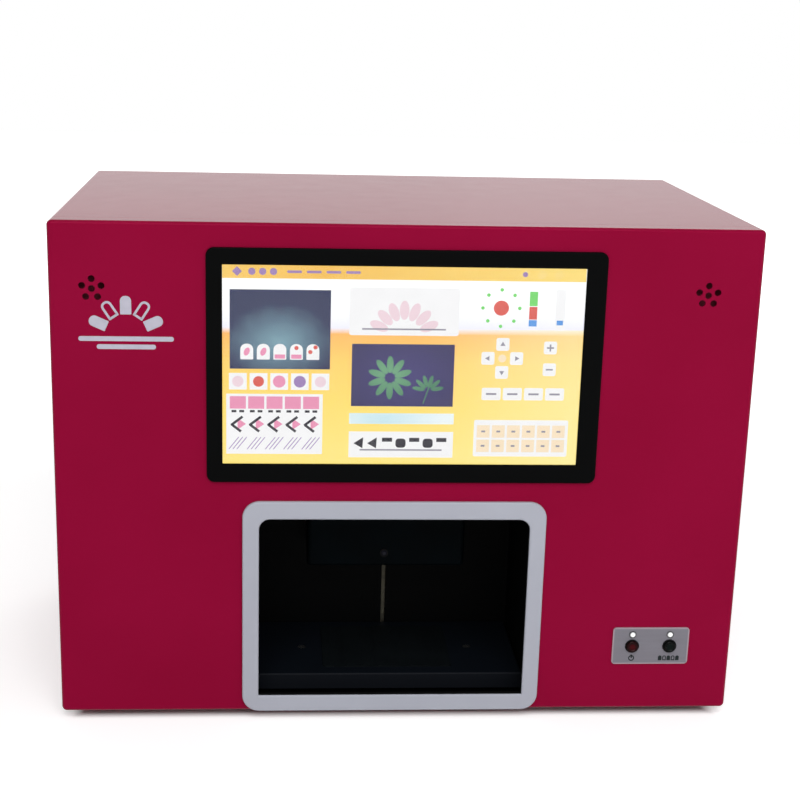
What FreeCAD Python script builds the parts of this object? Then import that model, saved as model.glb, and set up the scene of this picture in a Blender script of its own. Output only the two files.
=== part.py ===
"""Desktop digital nail art printer: sheet-metal cabinet, touch screen, hand bay and print engine.

Millimetres. X runs across the front, Y from the front to the back, Z up. The origin is on the floor,
under the centre of the whole machine. Sizes quoted "on the front" are measured from the middle of
the cabinet (X) and from the cabinet's lower edge (Z).
"""

import FreeCAD, Part
import math
import os

V = FreeCAD.Vector

# ---------------------------------------------------------------- driving dimensions: cabinet
cab_w = 440.0            # cabinet width
cab_d = 260.0            # front face to rear face
sheet_t = 1.2            # painted sheet steel
bend_r = 2.5             # outer radius of every cabinet bend
corner_r = 3.2           # outer radius where two bends meet
return_d = 14.0          # depth of the front panel's folded edge
seam = 0.3               # gap between front panel and cover
lip_d = 8.0              # joggled lip of the cover inside the front panel's folded edge
fit = 0.15               # play between nested sheet parts
flange_w = 14.0          # inward flange round the back of the cover
tray_h = 16.0            # upturned edges of the base tray
foot_h = 6.0             # rubber foot below the cabinet
foot_r = 9.0
foot_inset = 30.0        # foot centre from the cabinet's sides
foot_hole_r = 2.2
foot_bevel = 1.5
foot_stem = 3.5          # stem of the foot through the base tray
screw_r = 1.5            # M3 shank
head_r = 2.8
screw_len = 5.4
head_h = 2.0
head_bevel = 0.8
press_fit = 0.02         # play of a pressed pin, and of a nut on its thread
low_screw_share = 0.28   # lower rear screws from the middle, as a share of the width
slot_len = 34.0          # side vent slots
slot_w = 3.6
slot_pitch = 9.0
side_slots = 8
side_slot_y = 62.0       # centre of the side vents, forward of the rear face
side_slot_z = 62.0       # lowest side vent, above the cabinet's lower edge
base_slots = 7
base_slot_pitch = 12.0
base_slot_share = 0.62   # base vents from the middle, as a share of half the width

# ---------------------------------------------------------------- driving dimensions: screen
bezel_side = 11.4         # bezel beyond the lit picture, left and right
bezel_end = 11.25         # bezel beyond the lit picture, top and bottom
bezel_x = -1.5           # bezel centre on the front
head_margin = 14.95       # bezel to the top of the cabinet
screen_gap = 12.95        # bay frame to bezel
bezel_r = 5.0
bezel_proud = 2.0
bezel_flange = 3.0       # bezel overlap round its hole in the panel
bezel_lip_t = 1.6        # front lip that holds the glass
bezel_edge_r = 0.8
bezel_depth = 5.0        # bezel behind the front face
view_w = 224.0           # lit picture of the 10.1 inch panel
view_h = 126.5
view_dx = -1.5           # lit picture off the bezel's centre
view_dz = 0.8
view_chamfer = 1.0
glass_t = 1.1
glass_margin = 4.0       # glass and display module beyond the lit picture
lcd_t = 5.0
lcd_rim = 2.5            # metal rim of the display module
lcd_sink = 0.6           # its lit face behind that rim
strip_rise = 12.0        # middle of the control strip above the module's lower edge
strip_h = 16.0
strip_t = 1.6
lcd_plug_w = 24.0
lcd_plug_h = 6.0
lcd_plug_t = 3.4
pocket_play = 0.2
clamp_t = 1.5            # straps that press the display into its bezel
clamp_w = 18.0
clamp_x = 74.0
clamp_foot = 9.0

# ---------------------------------------------------------------- driving dimensions: hand bay
bay_x = -5.2             # bay centre on the front
frame_side = 10.55        # bay frame beyond its opening, left and right
frame_end = 11.45         # bay frame beyond its opening, top and bottom
frame_low = 0.5          # bay frame above the cabinet's lower edge
frame_r = 11.0
frame_proud = 2.4
frame_edge_r = 1.0
open_w = 173.7
open_h = 122.1
open_drop = 0.35         # opening below the frame's centre
open_r = 7.0
frame_wall = 2.0         # spigot through the front panel
frame_spigot = 2.2
bay_half = 91.5          # half the liner's inside width
bay_depth = 108.0        # front face to the liner's rear wall
liner_t = 1.2
liner_top = 138.0        # underside of the liner's ceiling
liner_flange = 8.0
slot_x = -3.6            # lift slot in the rear wall
lift_slot_w = 3.4
lift_slot_play = 1.5     # slot beyond the arm at both ends of its travel
shroud_x0 = -60.0        # print shroud hanging in the bay
shroud_x1 = 48.0
shroud_y0 = 60.0
shroud_z = 78.0          # its underside
shroud_t = 1.5
shroud_gap = 1.0         # shroud to the liner's rear wall
shroud_flange = 7.0
shroud_r = 3.0
window_w = 88.0
window_d = 36.0
window_r = 3.0
lamp_z = 87.6
lamp_dx = -3.7          # lamp off the middle of the lift slot
lamp_r = 2.0
camera_y = 38.0          # camera in the liner's ceiling
camera_r = 7.0
camera_wall = 1.5
camera_mouth = 2.0       # depth of the barrel's open mouth
camera_drop = 4.0        # barrel below the liner's ceiling
camera_collar = 2.0      # collar beyond the barrel
camera_rise = 3.0        # camera board above the liner
camera_board_w = 26.0
camera_board_d = 18.0
camera_board_t = 1.6

# ---------------------------------------------------------------- driving dimensions: hand platform
plat_play = 1.5          # platform to the liner's walls
plat_y0 = 20.0
plat_top = 16.8
plat_h = 11.0
plat_t = 2.5
plat_edge_r = 1.2
plat_rib_t = 2.5
pad_t = 1.6
pad_recess = 0.8
pad_margin = 14.0
pad_end_share = 0.7      # margin at the front and back, as a share of the one at the sides
pad_grooves = 4
pad_groove_r = 14.0
pad_groove_depth = 0.8
plat_screw_x = 57.8      # platform screws either side of the bay's centre
plat_screw_y = 63.0
plat_sink = 1.2          # counterbore of the platform's screws
plat_head_h = 1.0
plat_shank = 6.6
post_wall = 1.5          # screw posts beyond the screw heads
lift_travel = 45.0
arm_t = 2.6
arm_h = 7.3
arm_reach = 46.0         # arm under the platform
lift_rod_r = 3.0
lift_rod_dx = 24.0
lift_rod_y = 124.0
lift_screw_y = 138.0
lift_screw_r = 3.0
cross_z0 = 40.0          # crosshead of the lift arm at rest
cross_h = 20.0
bracket_z = 112.0
bracket_t = 1.5
bracket_side = 12.0      # bracket beyond the guide rods
bracket_reach = 10.0     # bracket behind the lead screw
arm_wall_gap = 1.0       # arm to the liner's rear wall
arm_stem = 6.5
run_play = 0.06          # running fit of rods and screws
bush_wall = 4.0
rod_over = 1.5           # guide rods above the bracket
screw_over = 1.0
coupling_wall = 2.2      # collar on the lift screw
coupling_gap = 0.5       # collar above its motor
arm_gap = 1.0            # and below the crosshead at rest

# ---------------------------------------------------------------- driving dimensions: controls
plate_w = 50.8
plate_h = 25.7
plate_side = 53.7        # plate centre from the right side
plate_z = 45.5
plate_r = 2.2
plate_t = 1.0
button_dx = (-12.35, 12.65)  # buttons and lights off the plate's centre
button_z = 45.45
button_r = 3.8           # moving cap
button_ring_r = 4.65
button_ring_h = 0.8
button_proud = 3.4
button_travel = 1.5
button_dish = 0.5
cap_bevel = 0.5
button_tail = 2.0        # cap behind the front face
button_gap = 0.12        # cap to barrel
barrel_r = 4.2
barrel_len = 14.0
tab_w = 0.8              # solder tabs of the switches
tab_h = 2.4
tab_len = 5.0
tab_dx = 2.0
nut_af = 11.0            # nut behind the panel, across flats
nut_t = 2.5
led_z = 53.55
led_r = 1.85
led_dome = 1.0
led_len = 9.0
led_rim = 0.5
led_rim_t = 0.35

# ---------------------------------------------------------------- driving dimensions: speakers
speaker_side = (26.15, 33.7)  # speaker centres from the left and right sides
speaker_drop = 41.4       # speaker centres below the top
speaker_ring_r = 6.1
speaker_hole_r = 2.1
speaker_holes = 5
speaker_r = 19.0
speaker_depth = 17.0
speaker_rim_t = 1.5
speaker_rim_w = 3.0

# ---------------------------------------------------------------- driving dimensions: print engine
rail_t = 2.0             # engine side plates
rail_dx = 112.0          # side plate from the bay's centre
engine_y0 = 34.0
engine_y1 = 206.0
engine_top = 200.0
engine_foot = 14.0
window_corner = 10.0     # corners of the side plates' openings
foot_hole_share = 0.6    # foot holes out from the side plate, as a share of the foot
leg_w = 26.0             # legs left beside the side plates' openings
cross_rise = 8.0         # front cross plate above the bay's ceiling
cross_up = 20.0          # cross plates above the Y rods
rod_r = 4.0
y_rod_dx = 92.0
y_rod_z = 153.0
y_rod_over = 3.0         # rods beyond the cross plates
lead_in = 8.0            # lead screw in front of the beam
x_rod_y = 134.0
x_rod_z = 172.0
y_travel = 10.0
x_travel = 38.0
block_w = 22.0
block_y0 = 118.0
beam_y = 156.0
beam_t = 2.5
beam_window_w = 22.0
beam_window_h = 16.0
beam_window_pitch = 34.0
beam_z0 = 144.0
beam_z1 = 200.0
beam_rib = 4.0
nozzle_y = 83.5          # centre of the print window and of the nozzle plate
nozzle_w = 24.0
nozzle_d = 20.0
nozzle_z = 84.0
nozzle_t = 2.0           # nozzle plate below the head's body
nozzle_inset = 3.0
socket_inset = 2.0       # head's neck inside its body
chute_z = 30.0           # cross channel above the nozzle plate
chute_r = 2.0
nozzle_share = 0.42      # nozzle behind the cartridge's front, as a share of its depth
cart_w = 38.0
cart_d = 60.0
cart_h = 52.0
cart_z = 150.0
lid_h = 3.0
lid_inset = 1.0
grip_w = 24.0
grip_t = 4.0
nut_len = 14.0
carriage_wall = 2.4
fork_w = 18.0            # belt fork of the carriage
fork_t = 3.0
fork_play = 0.4
cradle_gap = (10.0, 20.0)  # side windows of the cradle from its front and back
cradle_sill = 8.0
motor_w = 35.0
motor_l = 26.0
motor_corner = 4.0
motor_cap = 0.28         # end caps, as shares of the length
motor_waist = 1.0        # laminations inside the end caps
shaft_r = 2.5
shaft_play = 0.3
shaft_share = 0.4        # shaft inside its motor, as a share of the motor's length
bore_share = 0.5
motor_boss_r = 11.0
motor_boss_h = 2.0
belt_pitch = 3.0
pulley_teeth = 16
tooth_h = 1.1
tooth_w = 1.5
groove_h = 0.9
belt_t = 1.2
belt_w = 6.0
belt_z = 182.0
belt_y = 149.0
pulley_dx = 79.0
pulley_flange = 1.2
belt_gap = 0.35          # belt teeth from the pulley's tips
pitch_drop = 0.38        # pulley's tips inside the pitch circle
belt_side_play = 0.6     # pulley face wider than the belt
rim_h = 0.6              # pulley flanges above the belt
pin_head = 1.5           # idler pin's head: over its shank, and thick
pin_play = 0.3

# ---------------------------------------------------------------- driving dimensions: electronics, rear
board_side = 5.0         # mainboard from the right side
board_d = 170.0
board_t = 1.6
board_clear = 12.2       # mainboard from the engine's side plate
board_rise = 6.0
board_inset = 5.0        # fixing points from the board's edges
board_rear_inset = 40.0  # and from its rear edge, clear of the connectors
standoff_r = 3.0
sink_w = 44.0
sink_h = 24.0
sink_base = 4.0
sink_fins = 9
sink_y = 70.0            # heat sink behind the board's front edge
fin_t = 1.4
processor_w = 18.0
processor_t = 2.0
memory_w = 8.0           # row of memory chips along the front of the board
memory_d = 18.0
memory_t = 1.2
memory_y = 12.0
memory_pitch = 12.0
memory_chips = 4
choke_w = 16.0           # power stage at the front right of the board
choke_d = 36.0
choke_h = 8.0
choke_inset = 6.0
choke_y = 8.0
slot_block_w = 6.0       # card connector along the left of the board
slot_block_d = 60.0
slot_block_h = 6.0
slot_block_y = 50.0
psu_side = 4.0           # power supply from the left side
psu_d = 150.0
psu_h = 40.0
psu_clear = 2.8          # power supply from the engine's foot
psu_gap = 36.0           # power supply to the rear panel
psu_vents = 6
psu_vent_inset = 14.0
psu_vent_t = 3.0
psu_bend = 1.5
fan_side = 92.0          # fan centre from the left side
fan_drop = 86.4          # fan centre below the top
fan_w = 80.0
fan_t = 25.0
fan_bore = 37.5
fan_corner = 4.0
fan_wall = 1.4           # duct outside the bore
fan_flange = 4.0         # full-size flanges at both ends of the frame
fan_waist = 6.0          # frame drawn in between them
fan_ear = 10.0           # corners left full size
fan_hole_pitch = 71.5
fan_hole_r = 2.15
strut_w = 3.0
strut_t = 3.0
rotor_gap = 1.5          # rotor from the front of the frame, from its struts and inside the duct
blade_turn = 48.0        # degrees
hub_r = 17.0
hub_bevel = 1.5
blade_count = 7
blade_t = 1.4
grille_rings = 4
grille_spokes = 4
grille_bar = 3.2
grille_edge = 2.0        # grille inside the fan's bore
inlet_side = 54.0        # power inlet centre from the left side
inlet_z = 62.0
inlet_w = 28.0
inlet_h = 48.0
inlet_corner = 3.0
inlet_lip = 2.0          # flange beyond the body
inlet_depth = 24.0
socket_h = 15.0
socket_side = 4.0
socket_depth = 16.0
pin_dx = 7.0             # outer pins off the middle, which sits higher by pin_rise
pin_rise = 4.0
pin_w = 2.0
pin_h = 4.0
pin_sink = 3.0           # pins behind the rear face
rocker_w = 13.0
rocker_h = 16.0
rocker_swing = 9.0       # degrees each way between off and on, from the middle
rocker_depth = 2.75      # pivot inside the rear face
rocker_face = 1.8        # valley between the rocker's two faces, behind the pivot
rocker_body = 8.0
rocker_tail = 0.55       # rocker's back, as a share of its front
rocker_play = 0.4
trunnion = 1.5           # stub each side of the rocker
trunnion_r = 1.2
port_gap = 8.0
port_w = (14.5, 14.5, 16.0)
port_h = 7.0
port_depth = 16.0
port_wall = 0.6
port_mouth = 12.0
tongue_t = 1.0
tongue_sink = 3.0        # contact tongue behind the rear face
tongue_share = (0.6, 0.6, 0.8)  # its height, as a share of the port's
rear_vents = 9
rear_vent_w = 44.0
rear_vent_side = 125.0   # rear vents from the right side
rear_vent_drop = 132.4   # lowest rear vent below the top

# ---------------------------------------------------------------- places worked out from them
frame_w = open_w + 2 * frame_side
frame_h = open_h + 2 * frame_end
frame_z = frame_low + frame_h / 2
open_z = frame_z - open_drop
bezel_w = view_w + 2 * bezel_side
bezel_h = view_h + 2 * bezel_end
bezel_z = frame_low + frame_h + screen_gap + bezel_h / 2
view_x = bezel_x + view_dx
view_z = bezel_z + view_dz
cab_h = bezel_z + bezel_h / 2 + head_margin  # cabinet height without its feet
half_w = cab_w / 2
speaker_x = (speaker_side[0] - half_w, half_w - speaker_side[1])
speaker_z = cab_h - speaker_drop
plate_x = half_w - plate_side
button_x = [plate_x + dx for dx in button_dx]
fan_x = fan_side - half_w
fan_z = cab_h - fan_drop
inlet_x = inlet_side - half_w
rear_vent_x = half_w - rear_vent_side
rear_vent_z = cab_h - rear_vent_drop
psu_x0 = psu_side - half_w
psu_x1 = bay_x - rail_dx - engine_foot - psu_clear
board_x0 = bay_x + rail_dx + board_clear
board_x1 = half_w - board_side
board_x = (board_x0 + board_x1) / 2
depth_all = button_proud + cab_d + head_h
y_front = button_proud - depth_all / 2      # front face of the cabinet
y_rear = y_front + cab_d                    # rear face
z_low = foot_h                              # lower edge of the cabinet
z_high = z_low + cab_h
y_seam = y_front + return_d + seam          # where the cover starts
y_skin = y_front + sheet_t                  # inner face of the front panel
y_flange = y_rear - sheet_t                 # outer face of the cover's rear flange
port_floor = z_low + sheet_t + board_rise + board_t
z_floor = z_low + sheet_t                   # upper face of the base tray
nest = sheet_t + fit                        # step between nested sheets
tray_half = half_w - nest
z_mid = z_low + cab_h / 2

parts = {}


def fy(depth):
    """Y of a point this deep behind the front face."""
    return y_front + depth


def fz(height):
    """Z of a point this high above the cabinet's lower edge."""
    return z_low + height


def box(x0, x1, y0, y1, z0, z1):
    """Block between two corners."""
    return Part.makeBox(x1 - x0, y1 - y0, z1 - z0, V(x0, y0, z0))


def post(x, y, z, r, h):
    """Upright cylinder standing on z."""
    return Part.makeCylinder(r, h, V(x, y, z))


def pin_y(x, y0, y1, z, r):
    """Cylinder along Y from y0 to y1."""
    return Part.makeCylinder(r, y1 - y0, V(x, y0, z), V(0, 1, 0))


def pin_x(x0, x1, y, z, r):
    """Cylinder along X from x0 to x1."""
    return Part.makeCylinder(r, x1 - x0, V(x0, y, z), V(1, 0, 0))


def rounded_wire(w, h, r):
    """Closed outline of a rectangle with round corners, in the XZ plane about the origin."""
    edges = []
    corners = [(1, 1, 0), (-1, 1, 90), (-1, -1, 180), (1, -1, 270)]
    ends = []
    for sx, sz, start in corners:
        cx = sx * (w / 2 - r)
        cz = sz * (h / 2 - r)
        points = []
        for step in (0, 45, 90):
            a = math.radians(start + step)
            points.append(V(cx + r * math.cos(a), 0, cz + r * math.sin(a)))
        edges.append(Part.Arc(*points).toShape())
        ends.append((points[0], points[2]))
    for i in range(4):
        a = ends[i][1]
        b = ends[(i + 1) % 4][0]
        if (a - b).Length > 1e-6:
            edges.insert(2 * i + 1, Part.LineSegment(a, b).toShape())
    return Part.Wire(Part.__sortEdges__(edges))


def slab(x, z, w, h, r, y0, y1):
    """Upright plate with round corners, centred on x and z, from y0 to y1."""
    face = Part.Face(rounded_wire(w, h, r))
    face.translate(V(x, y0, z))
    return face.extrude(V(0, y1 - y0, 0))


def sheet_xy(x0, x1, y0, y1, r, z0, z1):
    """Level plate with round corners between two corners."""
    plate = slab(0, 0, x1 - x0, y1 - y0, r, 0, z1 - z0)
    plate.rotate(V(0, 0, 0), V(1, 0, 0), 90)
    plate.translate(V((x0 + x1) / 2, (y0 + y1) / 2, z0))
    return plate


def prism_x(x0, x1, points):
    """Profile given as (y, z) points, extruded along X."""
    loop = [V(x0, y, z) for y, z in points]
    face = Part.Face(Part.makePolygon(loop + loop[:1]))
    return face.extrude(V(x1 - x0, 0, 0))


def turned(points, place, axis):
    """Solid of revolution from (radius, distance) points, its axis along the given direction."""
    loop = [V(r, 0, d) for r, d in points]
    face = Part.Face(Part.makePolygon(loop + loop[:1]))
    solid = face.revolve(V(0, 0, 0), V(0, 0, 1), 360)
    spin = FreeCAD.Rotation(V(0, 0, 1), axis)
    solid.Placement = FreeCAD.Placement(place, spin)
    return solid


def hex_nut(x, y0, y1, z, across, bore):
    """Hexagonal nut along Y."""
    loop = []
    for k in range(6):
        a = math.radians(60 * k)
        loop.append(V(x + across / math.sqrt(3) * math.cos(a), y0, z + across / math.sqrt(3) * math.sin(a)))
    nut = Part.Face(Part.makePolygon(loop + loop[:1])).extrude(V(0, y1 - y0, 0))
    return nut.cut(pin_y(x, y0, y1, z, bore))


def fuse(first, *others):
    """One solid from touching pieces."""
    return first.multiFuse(list(others)).removeSplitter() if others else first


def cut(body, *tools):
    """Body with every tool taken away."""
    return body.cut(Part.makeCompound(list(tools)))


def round_edges(solid, radius, chosen):
    """Fillet the edges whose bounding box passes the test."""
    edges = [e for e in solid.Edges if chosen(e.BoundBox)]
    return solid.makeFillet(radius, edges)


def flat_at(value, low, high):
    """Whether an edge's extent along one axis lies wholly at a value."""
    return abs(low - value) < 1e-4 and abs(high - value) < 1e-4


def group(solids):
    """Separate solids kept together in one node."""
    return Part.makeCompound(list(solids))


# ---------------------------------------------------------------- cabinet
def front_pan(shrink, y0, y1):
    """Block with the front panel's folded outline, smaller by shrink all round."""
    w = cab_w - 2 * shrink
    h = cab_h - 2 * shrink
    pan = slab(0, z_mid, w, h, corner_r - shrink, y0, y1)
    return round_edges(pan, bend_r - shrink, lambda b: flat_at(y0, b.YMin, b.YMax))


def screw_places():
    """Rear screws: (x, z) on the cover's rear flange and on the tray's rear edge."""
    top_z = z_high - flange_w / 2
    side_x = half_w - flange_w / 2
    low_z = z_low + tray_h / 2
    places = [(k * cab_w / 3, top_z) for k in (-1, 0, 1)]
    places += [(s * side_x, z_mid + k * cab_h / 4) for s in (-1, 1) for k in (-1, 1)]
    places += [(k * cab_w * low_screw_share, low_z) for k in (-1, 0, 1)]
    return places


def foot_places():
    """Centres of the four feet."""
    x = half_w - foot_inset
    return [(sx * x, sy) for sx in (-1, 1) for sy in (y_front + foot_inset, y_rear - foot_inset)]


def engine_hole_places():
    """Screw holes in the print engine's feet."""
    x = rail_dx + engine_foot * foot_hole_share
    return [(bay_x + s * x, fy(y)) for s in (-1, 1) for y in (engine_y0 + leg_w / 2, engine_y1 - leg_w / 2)]


def bay_opening(grow, y0, y1):
    """Hand opening: round corners at the top, square ones at the bottom, larger by grow all round."""
    w = open_w + 2 * grow
    h = open_h + 2 * grow
    arch = slab(bay_x, fz(open_z), w, h, open_r + grow, y0, y1)
    lower = box(bay_x - w / 2, bay_x + w / 2, y0, y1, fz(open_z) - h / 2, fz(open_z))
    return arch.fuse(lower).removeSplitter()


def bezel_hole(grow, y0, y1):
    """Hole for the screen bezel's spigot."""
    w = bezel_w - 2 * bezel_flange + 2 * grow
    h = bezel_h - 2 * bezel_flange + 2 * grow
    return slab(bezel_x, fz(bezel_z), w, h, bezel_r - bezel_flange + grow, y0, y1)


def front_panel():
    """Folded front panel with every opening cut."""
    pan = front_pan(0, y_front, y_front + return_d)
    pan = pan.cut(front_pan(sheet_t, y_skin, y_front + return_d + 1))
    y0 = y_front - 1
    y1 = y_skin + 1
    tools = [bezel_hole(fit, y0, y1), bay_opening(frame_wall + fit, y0, y1)]
    for x in button_x:
        tools.append(pin_y(x, y0, y1, fz(button_z), barrel_r + fit))
        tools.append(pin_y(x, y0, y1, fz(led_z), led_r + fit))
    for x in speaker_x:
        tools.append(pin_y(x, y0, y1, fz(speaker_z), speaker_hole_r))
        for k in range(speaker_holes):
            a = math.radians(90 + 360 * k / speaker_holes)
            hx = x + speaker_ring_r * math.cos(a)
            hz = fz(speaker_z) + speaker_ring_r * math.sin(a)
            tools.append(pin_y(hx, y0, y1, hz, speaker_hole_r))
    return cut(pan, *tools)


def hood(shrink, y0, y1, z0):
    """Block with the cover's arch outline: round top corners, square bottom at z0."""
    w = cab_w - 2 * shrink
    top = z_high - shrink
    r = corner_r - shrink if corner_r > shrink + 0.3 else 0.3
    arch = slab(0, (z_low + top) / 2, w, top - z_low, r, y0, y1)
    foot = box(-w / 2, w / 2, y0, y1, z0, z_mid)
    above = box(-w, w, y0 - 1, y1 + 1, z0, top + 1)
    return arch.fuse(foot).common(above).removeSplitter()


def side_vents():
    """Slots through both sides of the cover."""
    tools = []
    y0 = y_rear - side_slot_y - slot_len / 2
    for k in range(side_slots):
        z = fz(side_slot_z) + k * slot_pitch
        tools.append(box(-half_w - 1, half_w + 1, y0, y0 + slot_len, z - slot_w / 2, z + slot_w / 2))
    return tools


def cabinet_cover():
    """Folded top and sides with a joggled front lip and a rear flange."""
    main = hood(0, y_seam, y_flange, z_low)
    main = round_edges(main, bend_r, lambda b: flat_at(y_flange, b.YMin, b.YMax) and b.ZMax > z_low + 1)
    hollow = hood(sheet_t, y_seam - 1, y_flange - sheet_t, z_low - 1)
    window = box(-half_w + flange_w, half_w - flange_w, y_seam, y_rear, z_low - 1, z_high - flange_w)
    main = cut(main, hollow, window)
    z_lip = z_low + corner_r + fit
    lip = hood(nest, y_seam - seam - lip_d, y_seam + sheet_t, z_lip)
    lip = lip.cut(hood(nest + sheet_t, y_seam - seam - lip_d - 1, y_seam + sheet_t + 1, z_lip - 1))
    step = hood(sheet_t / 2, y_seam, y_seam + sheet_t, z_lip)
    step = step.cut(hood(nest + sheet_t / 2, y_seam - 1, y_seam + sheet_t + 1, z_lip - 1))
    holes = [pin_y(x, y_flange - sheet_t - 1, y_rear, z, screw_r + fit) for x, z in screw_places()]
    return cut(fuse(main, step, lip), *(side_vents() + holes))


def base_tray():
    """Floor with upturned side and rear edges, foot holes and vents."""
    y0 = y_seam
    y_side = y0 + sheet_t + fit
    y_back = y_flange - sheet_t - fit
    floor = box(-tray_half, tray_half, y0, y_back, z_low, z_floor)
    sides = []
    for s in (-1, 1):
        inner = s * (tray_half - sheet_t)
        outer = s * tray_half
        sides.append(box(min(inner, outer), max(inner, outer), y_side, y_back, z_low, z_low + tray_h))
    back_half = half_w - flange_w - fit
    sides.append(box(-back_half, back_half, y_back - 1, y_flange, z_low, z_floor))
    sides.append(box(-back_half, back_half, y_flange - sheet_t, y_flange, z_low, z_low + tray_h))
    tray = fuse(floor, *sides)
    tools = [post(x, y, z_low - 1, foot_hole_r, sheet_t + 2) for x, y in foot_places()]
    for k in range(base_slots):
        y = (y_front + y_rear) / 2 + (k - base_slots / 2) * base_slot_pitch
        for x in (-half_w * base_slot_share, half_w * base_slot_share):
            tools.append(box(x - slot_len / 2, x + slot_len / 2, y - slot_w / 2, y + slot_w / 2,
                             z_low - 1, z_floor + 1))
    tools += [pin_y(x, y_flange - sheet_t - 1, y_flange + 1, z, screw_r + fit) for x, z in screw_places()
              if z < z_low + tray_h]
    for x0, x1 in port_cuts():
        tools.append(box(x0, x1, y_flange - sheet_t - 1, y_flange + 1, port_floor, z_low + tray_h + 1))
    return cut(tray, *tools)


def rubber_feet():
    """Push-in feet under the base tray."""
    stem_r = foot_hole_r - run_play
    profile = [(0, 0), (foot_r - foot_bevel, 0), (foot_r, foot_bevel), (foot_r, foot_h), (stem_r, foot_h),
               (stem_r, foot_h + foot_stem), (0, foot_h + foot_stem)]
    return group(turned(profile, V(x, y, 0), V(0, 0, 1)) for x, y in foot_places())


def grille_slots():
    """Ring segments of the fan grille, as cutting tools through the rear panel."""
    tools = []
    reach = fan_bore - grille_edge
    pitch = (reach - hub_r * 0.4) / grille_rings
    y0 = y_flange - 1
    spokes = []
    for k in range(grille_spokes):
        bar = box(-fan_w, fan_w, y0 - 1, y_rear + 2, -grille_bar / 2, grille_bar / 2)
        bar.rotate(V(0, 0, 0), V(0, 1, 0), 45 + 180 * k / grille_spokes)
        bar.translate(V(fan_x, 0, fz(fan_z)))
        spokes.append(bar)
    for k in range(grille_rings):
        outer_r = reach - k * pitch
        ring = pin_y(fan_x, y0, y_rear + 1, fz(fan_z), outer_r)
        ring = ring.cut(pin_y(fan_x, y0 - 1, y_rear + 2, fz(fan_z), outer_r - pitch + grille_bar))
        tools.append(cut(ring, *spokes))
    return tools


def port_cuts():
    """Connector windows in the rear panel: (x0, x1)."""
    windows = []
    x = board_x0 + port_gap
    for width in port_w:
        windows.append((x - fit, x + width + fit))
        x += width + port_gap
    return windows


def fan_hole_places():
    """Screw holes at the fan's corners: (x, z)."""
    half = fan_hole_pitch / 2
    return [(fan_x + sx * half, fz(fan_z) + sz * half) for sx in (-1, 1) for sz in (-1, 1)]


def rear_panel():
    """Flat rear panel with fan grille, power inlet, connector windows and vents."""
    edge = bend_r + 0.5
    panel = slab(0, (z_low + z_high - edge) / 2, cab_w - 2 * edge, cab_h - edge, 2.0, y_flange, y_rear)
    y0 = y_flange - 1
    y1 = y_rear + 1
    tools = grille_slots()
    tools += [pin_y(x, y0, y1, z, screw_r + fit) for x, z in screw_places()]
    tools += [pin_y(x, y0, y1, z, fan_hole_r) for x, z in fan_hole_places()]
    tools.append(slab(inlet_x, fz(inlet_z), inlet_w - 2 * inlet_lip, inlet_h - 2 * inlet_lip,
                      inlet_corner / 2, y0, y1))
    tools += [box(a, b, y0, y1, port_floor - fit, port_floor + port_h + fit) for a, b in port_cuts()]
    for k in range(rear_vents):
        z = fz(rear_vent_z) + k * slot_pitch
        tools.append(box(rear_vent_x - rear_vent_w / 2, rear_vent_x + rear_vent_w / 2, y0, y1,
                         z - slot_w / 2, z + slot_w / 2))
    return cut(panel, *tools)


def rear_screws():
    """Pan-head screws of the rear panel."""
    profile = [(0, head_h), (head_r - head_bevel, head_h), (head_r, head_h - head_bevel), (head_r, 0),
               (screw_r, 0), (screw_r, -screw_len), (0, -screw_len)]
    return group(turned(profile, V(x, y_rear, z), V(0, 1, 0)) for x, z in screw_places())


# ---------------------------------------------------------------- screen
y_glass = y_front - bezel_proud + bezel_lip_t
y_lcd = y_glass + glass_t
y_lcd_back = y_lcd + lcd_t
glass_w = view_w + 2 * glass_margin
glass_h = view_h + 2 * glass_margin


def screen_bezel():
    """Moulded frame: lip, rounded front edge and spigot with the glass pocket."""
    y0 = y_front - bezel_proud
    lip = slab(bezel_x, fz(bezel_z), bezel_w, bezel_h, bezel_r, y0, y_front)
    lip = round_edges(lip, bezel_edge_r, lambda b: flat_at(y0, b.YMin, b.YMax))
    bezel = fuse(lip, bezel_hole(0, y_front, y_front + bezel_depth))
    view = slab(view_x, fz(view_z), view_w, view_h, 0.5, y0 - 1, y_glass + 1)
    wide = view_w + 2 * view_chamfer
    tall = view_h + 2 * view_chamfer
    flare = Part.makeLoft([
        outline_at(view_x, fz(view_z), wide, tall, 1.5, y0 - 0.001),
        outline_at(view_x, fz(view_z), view_w, view_h, 0.5, y0 + view_chamfer)], True, True)
    pocket = slab(view_x, fz(view_z), glass_w + 2 * pocket_play, glass_h + 2 * pocket_play, 2.0,
                  y_glass, y_front + bezel_depth + 1)
    return cut(bezel, view, flare, pocket)


def outline_at(x, z, w, h, r, y):
    """Rounded outline moved to its place."""
    wire = rounded_wire(w, h, r)
    wire.translate(V(x, y, z))
    return wire


def touch_glass():
    """Cover glass behind the bezel's lip."""
    return slab(view_x, fz(view_z), glass_w, glass_h, 1.5, y_glass, y_lcd)


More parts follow.
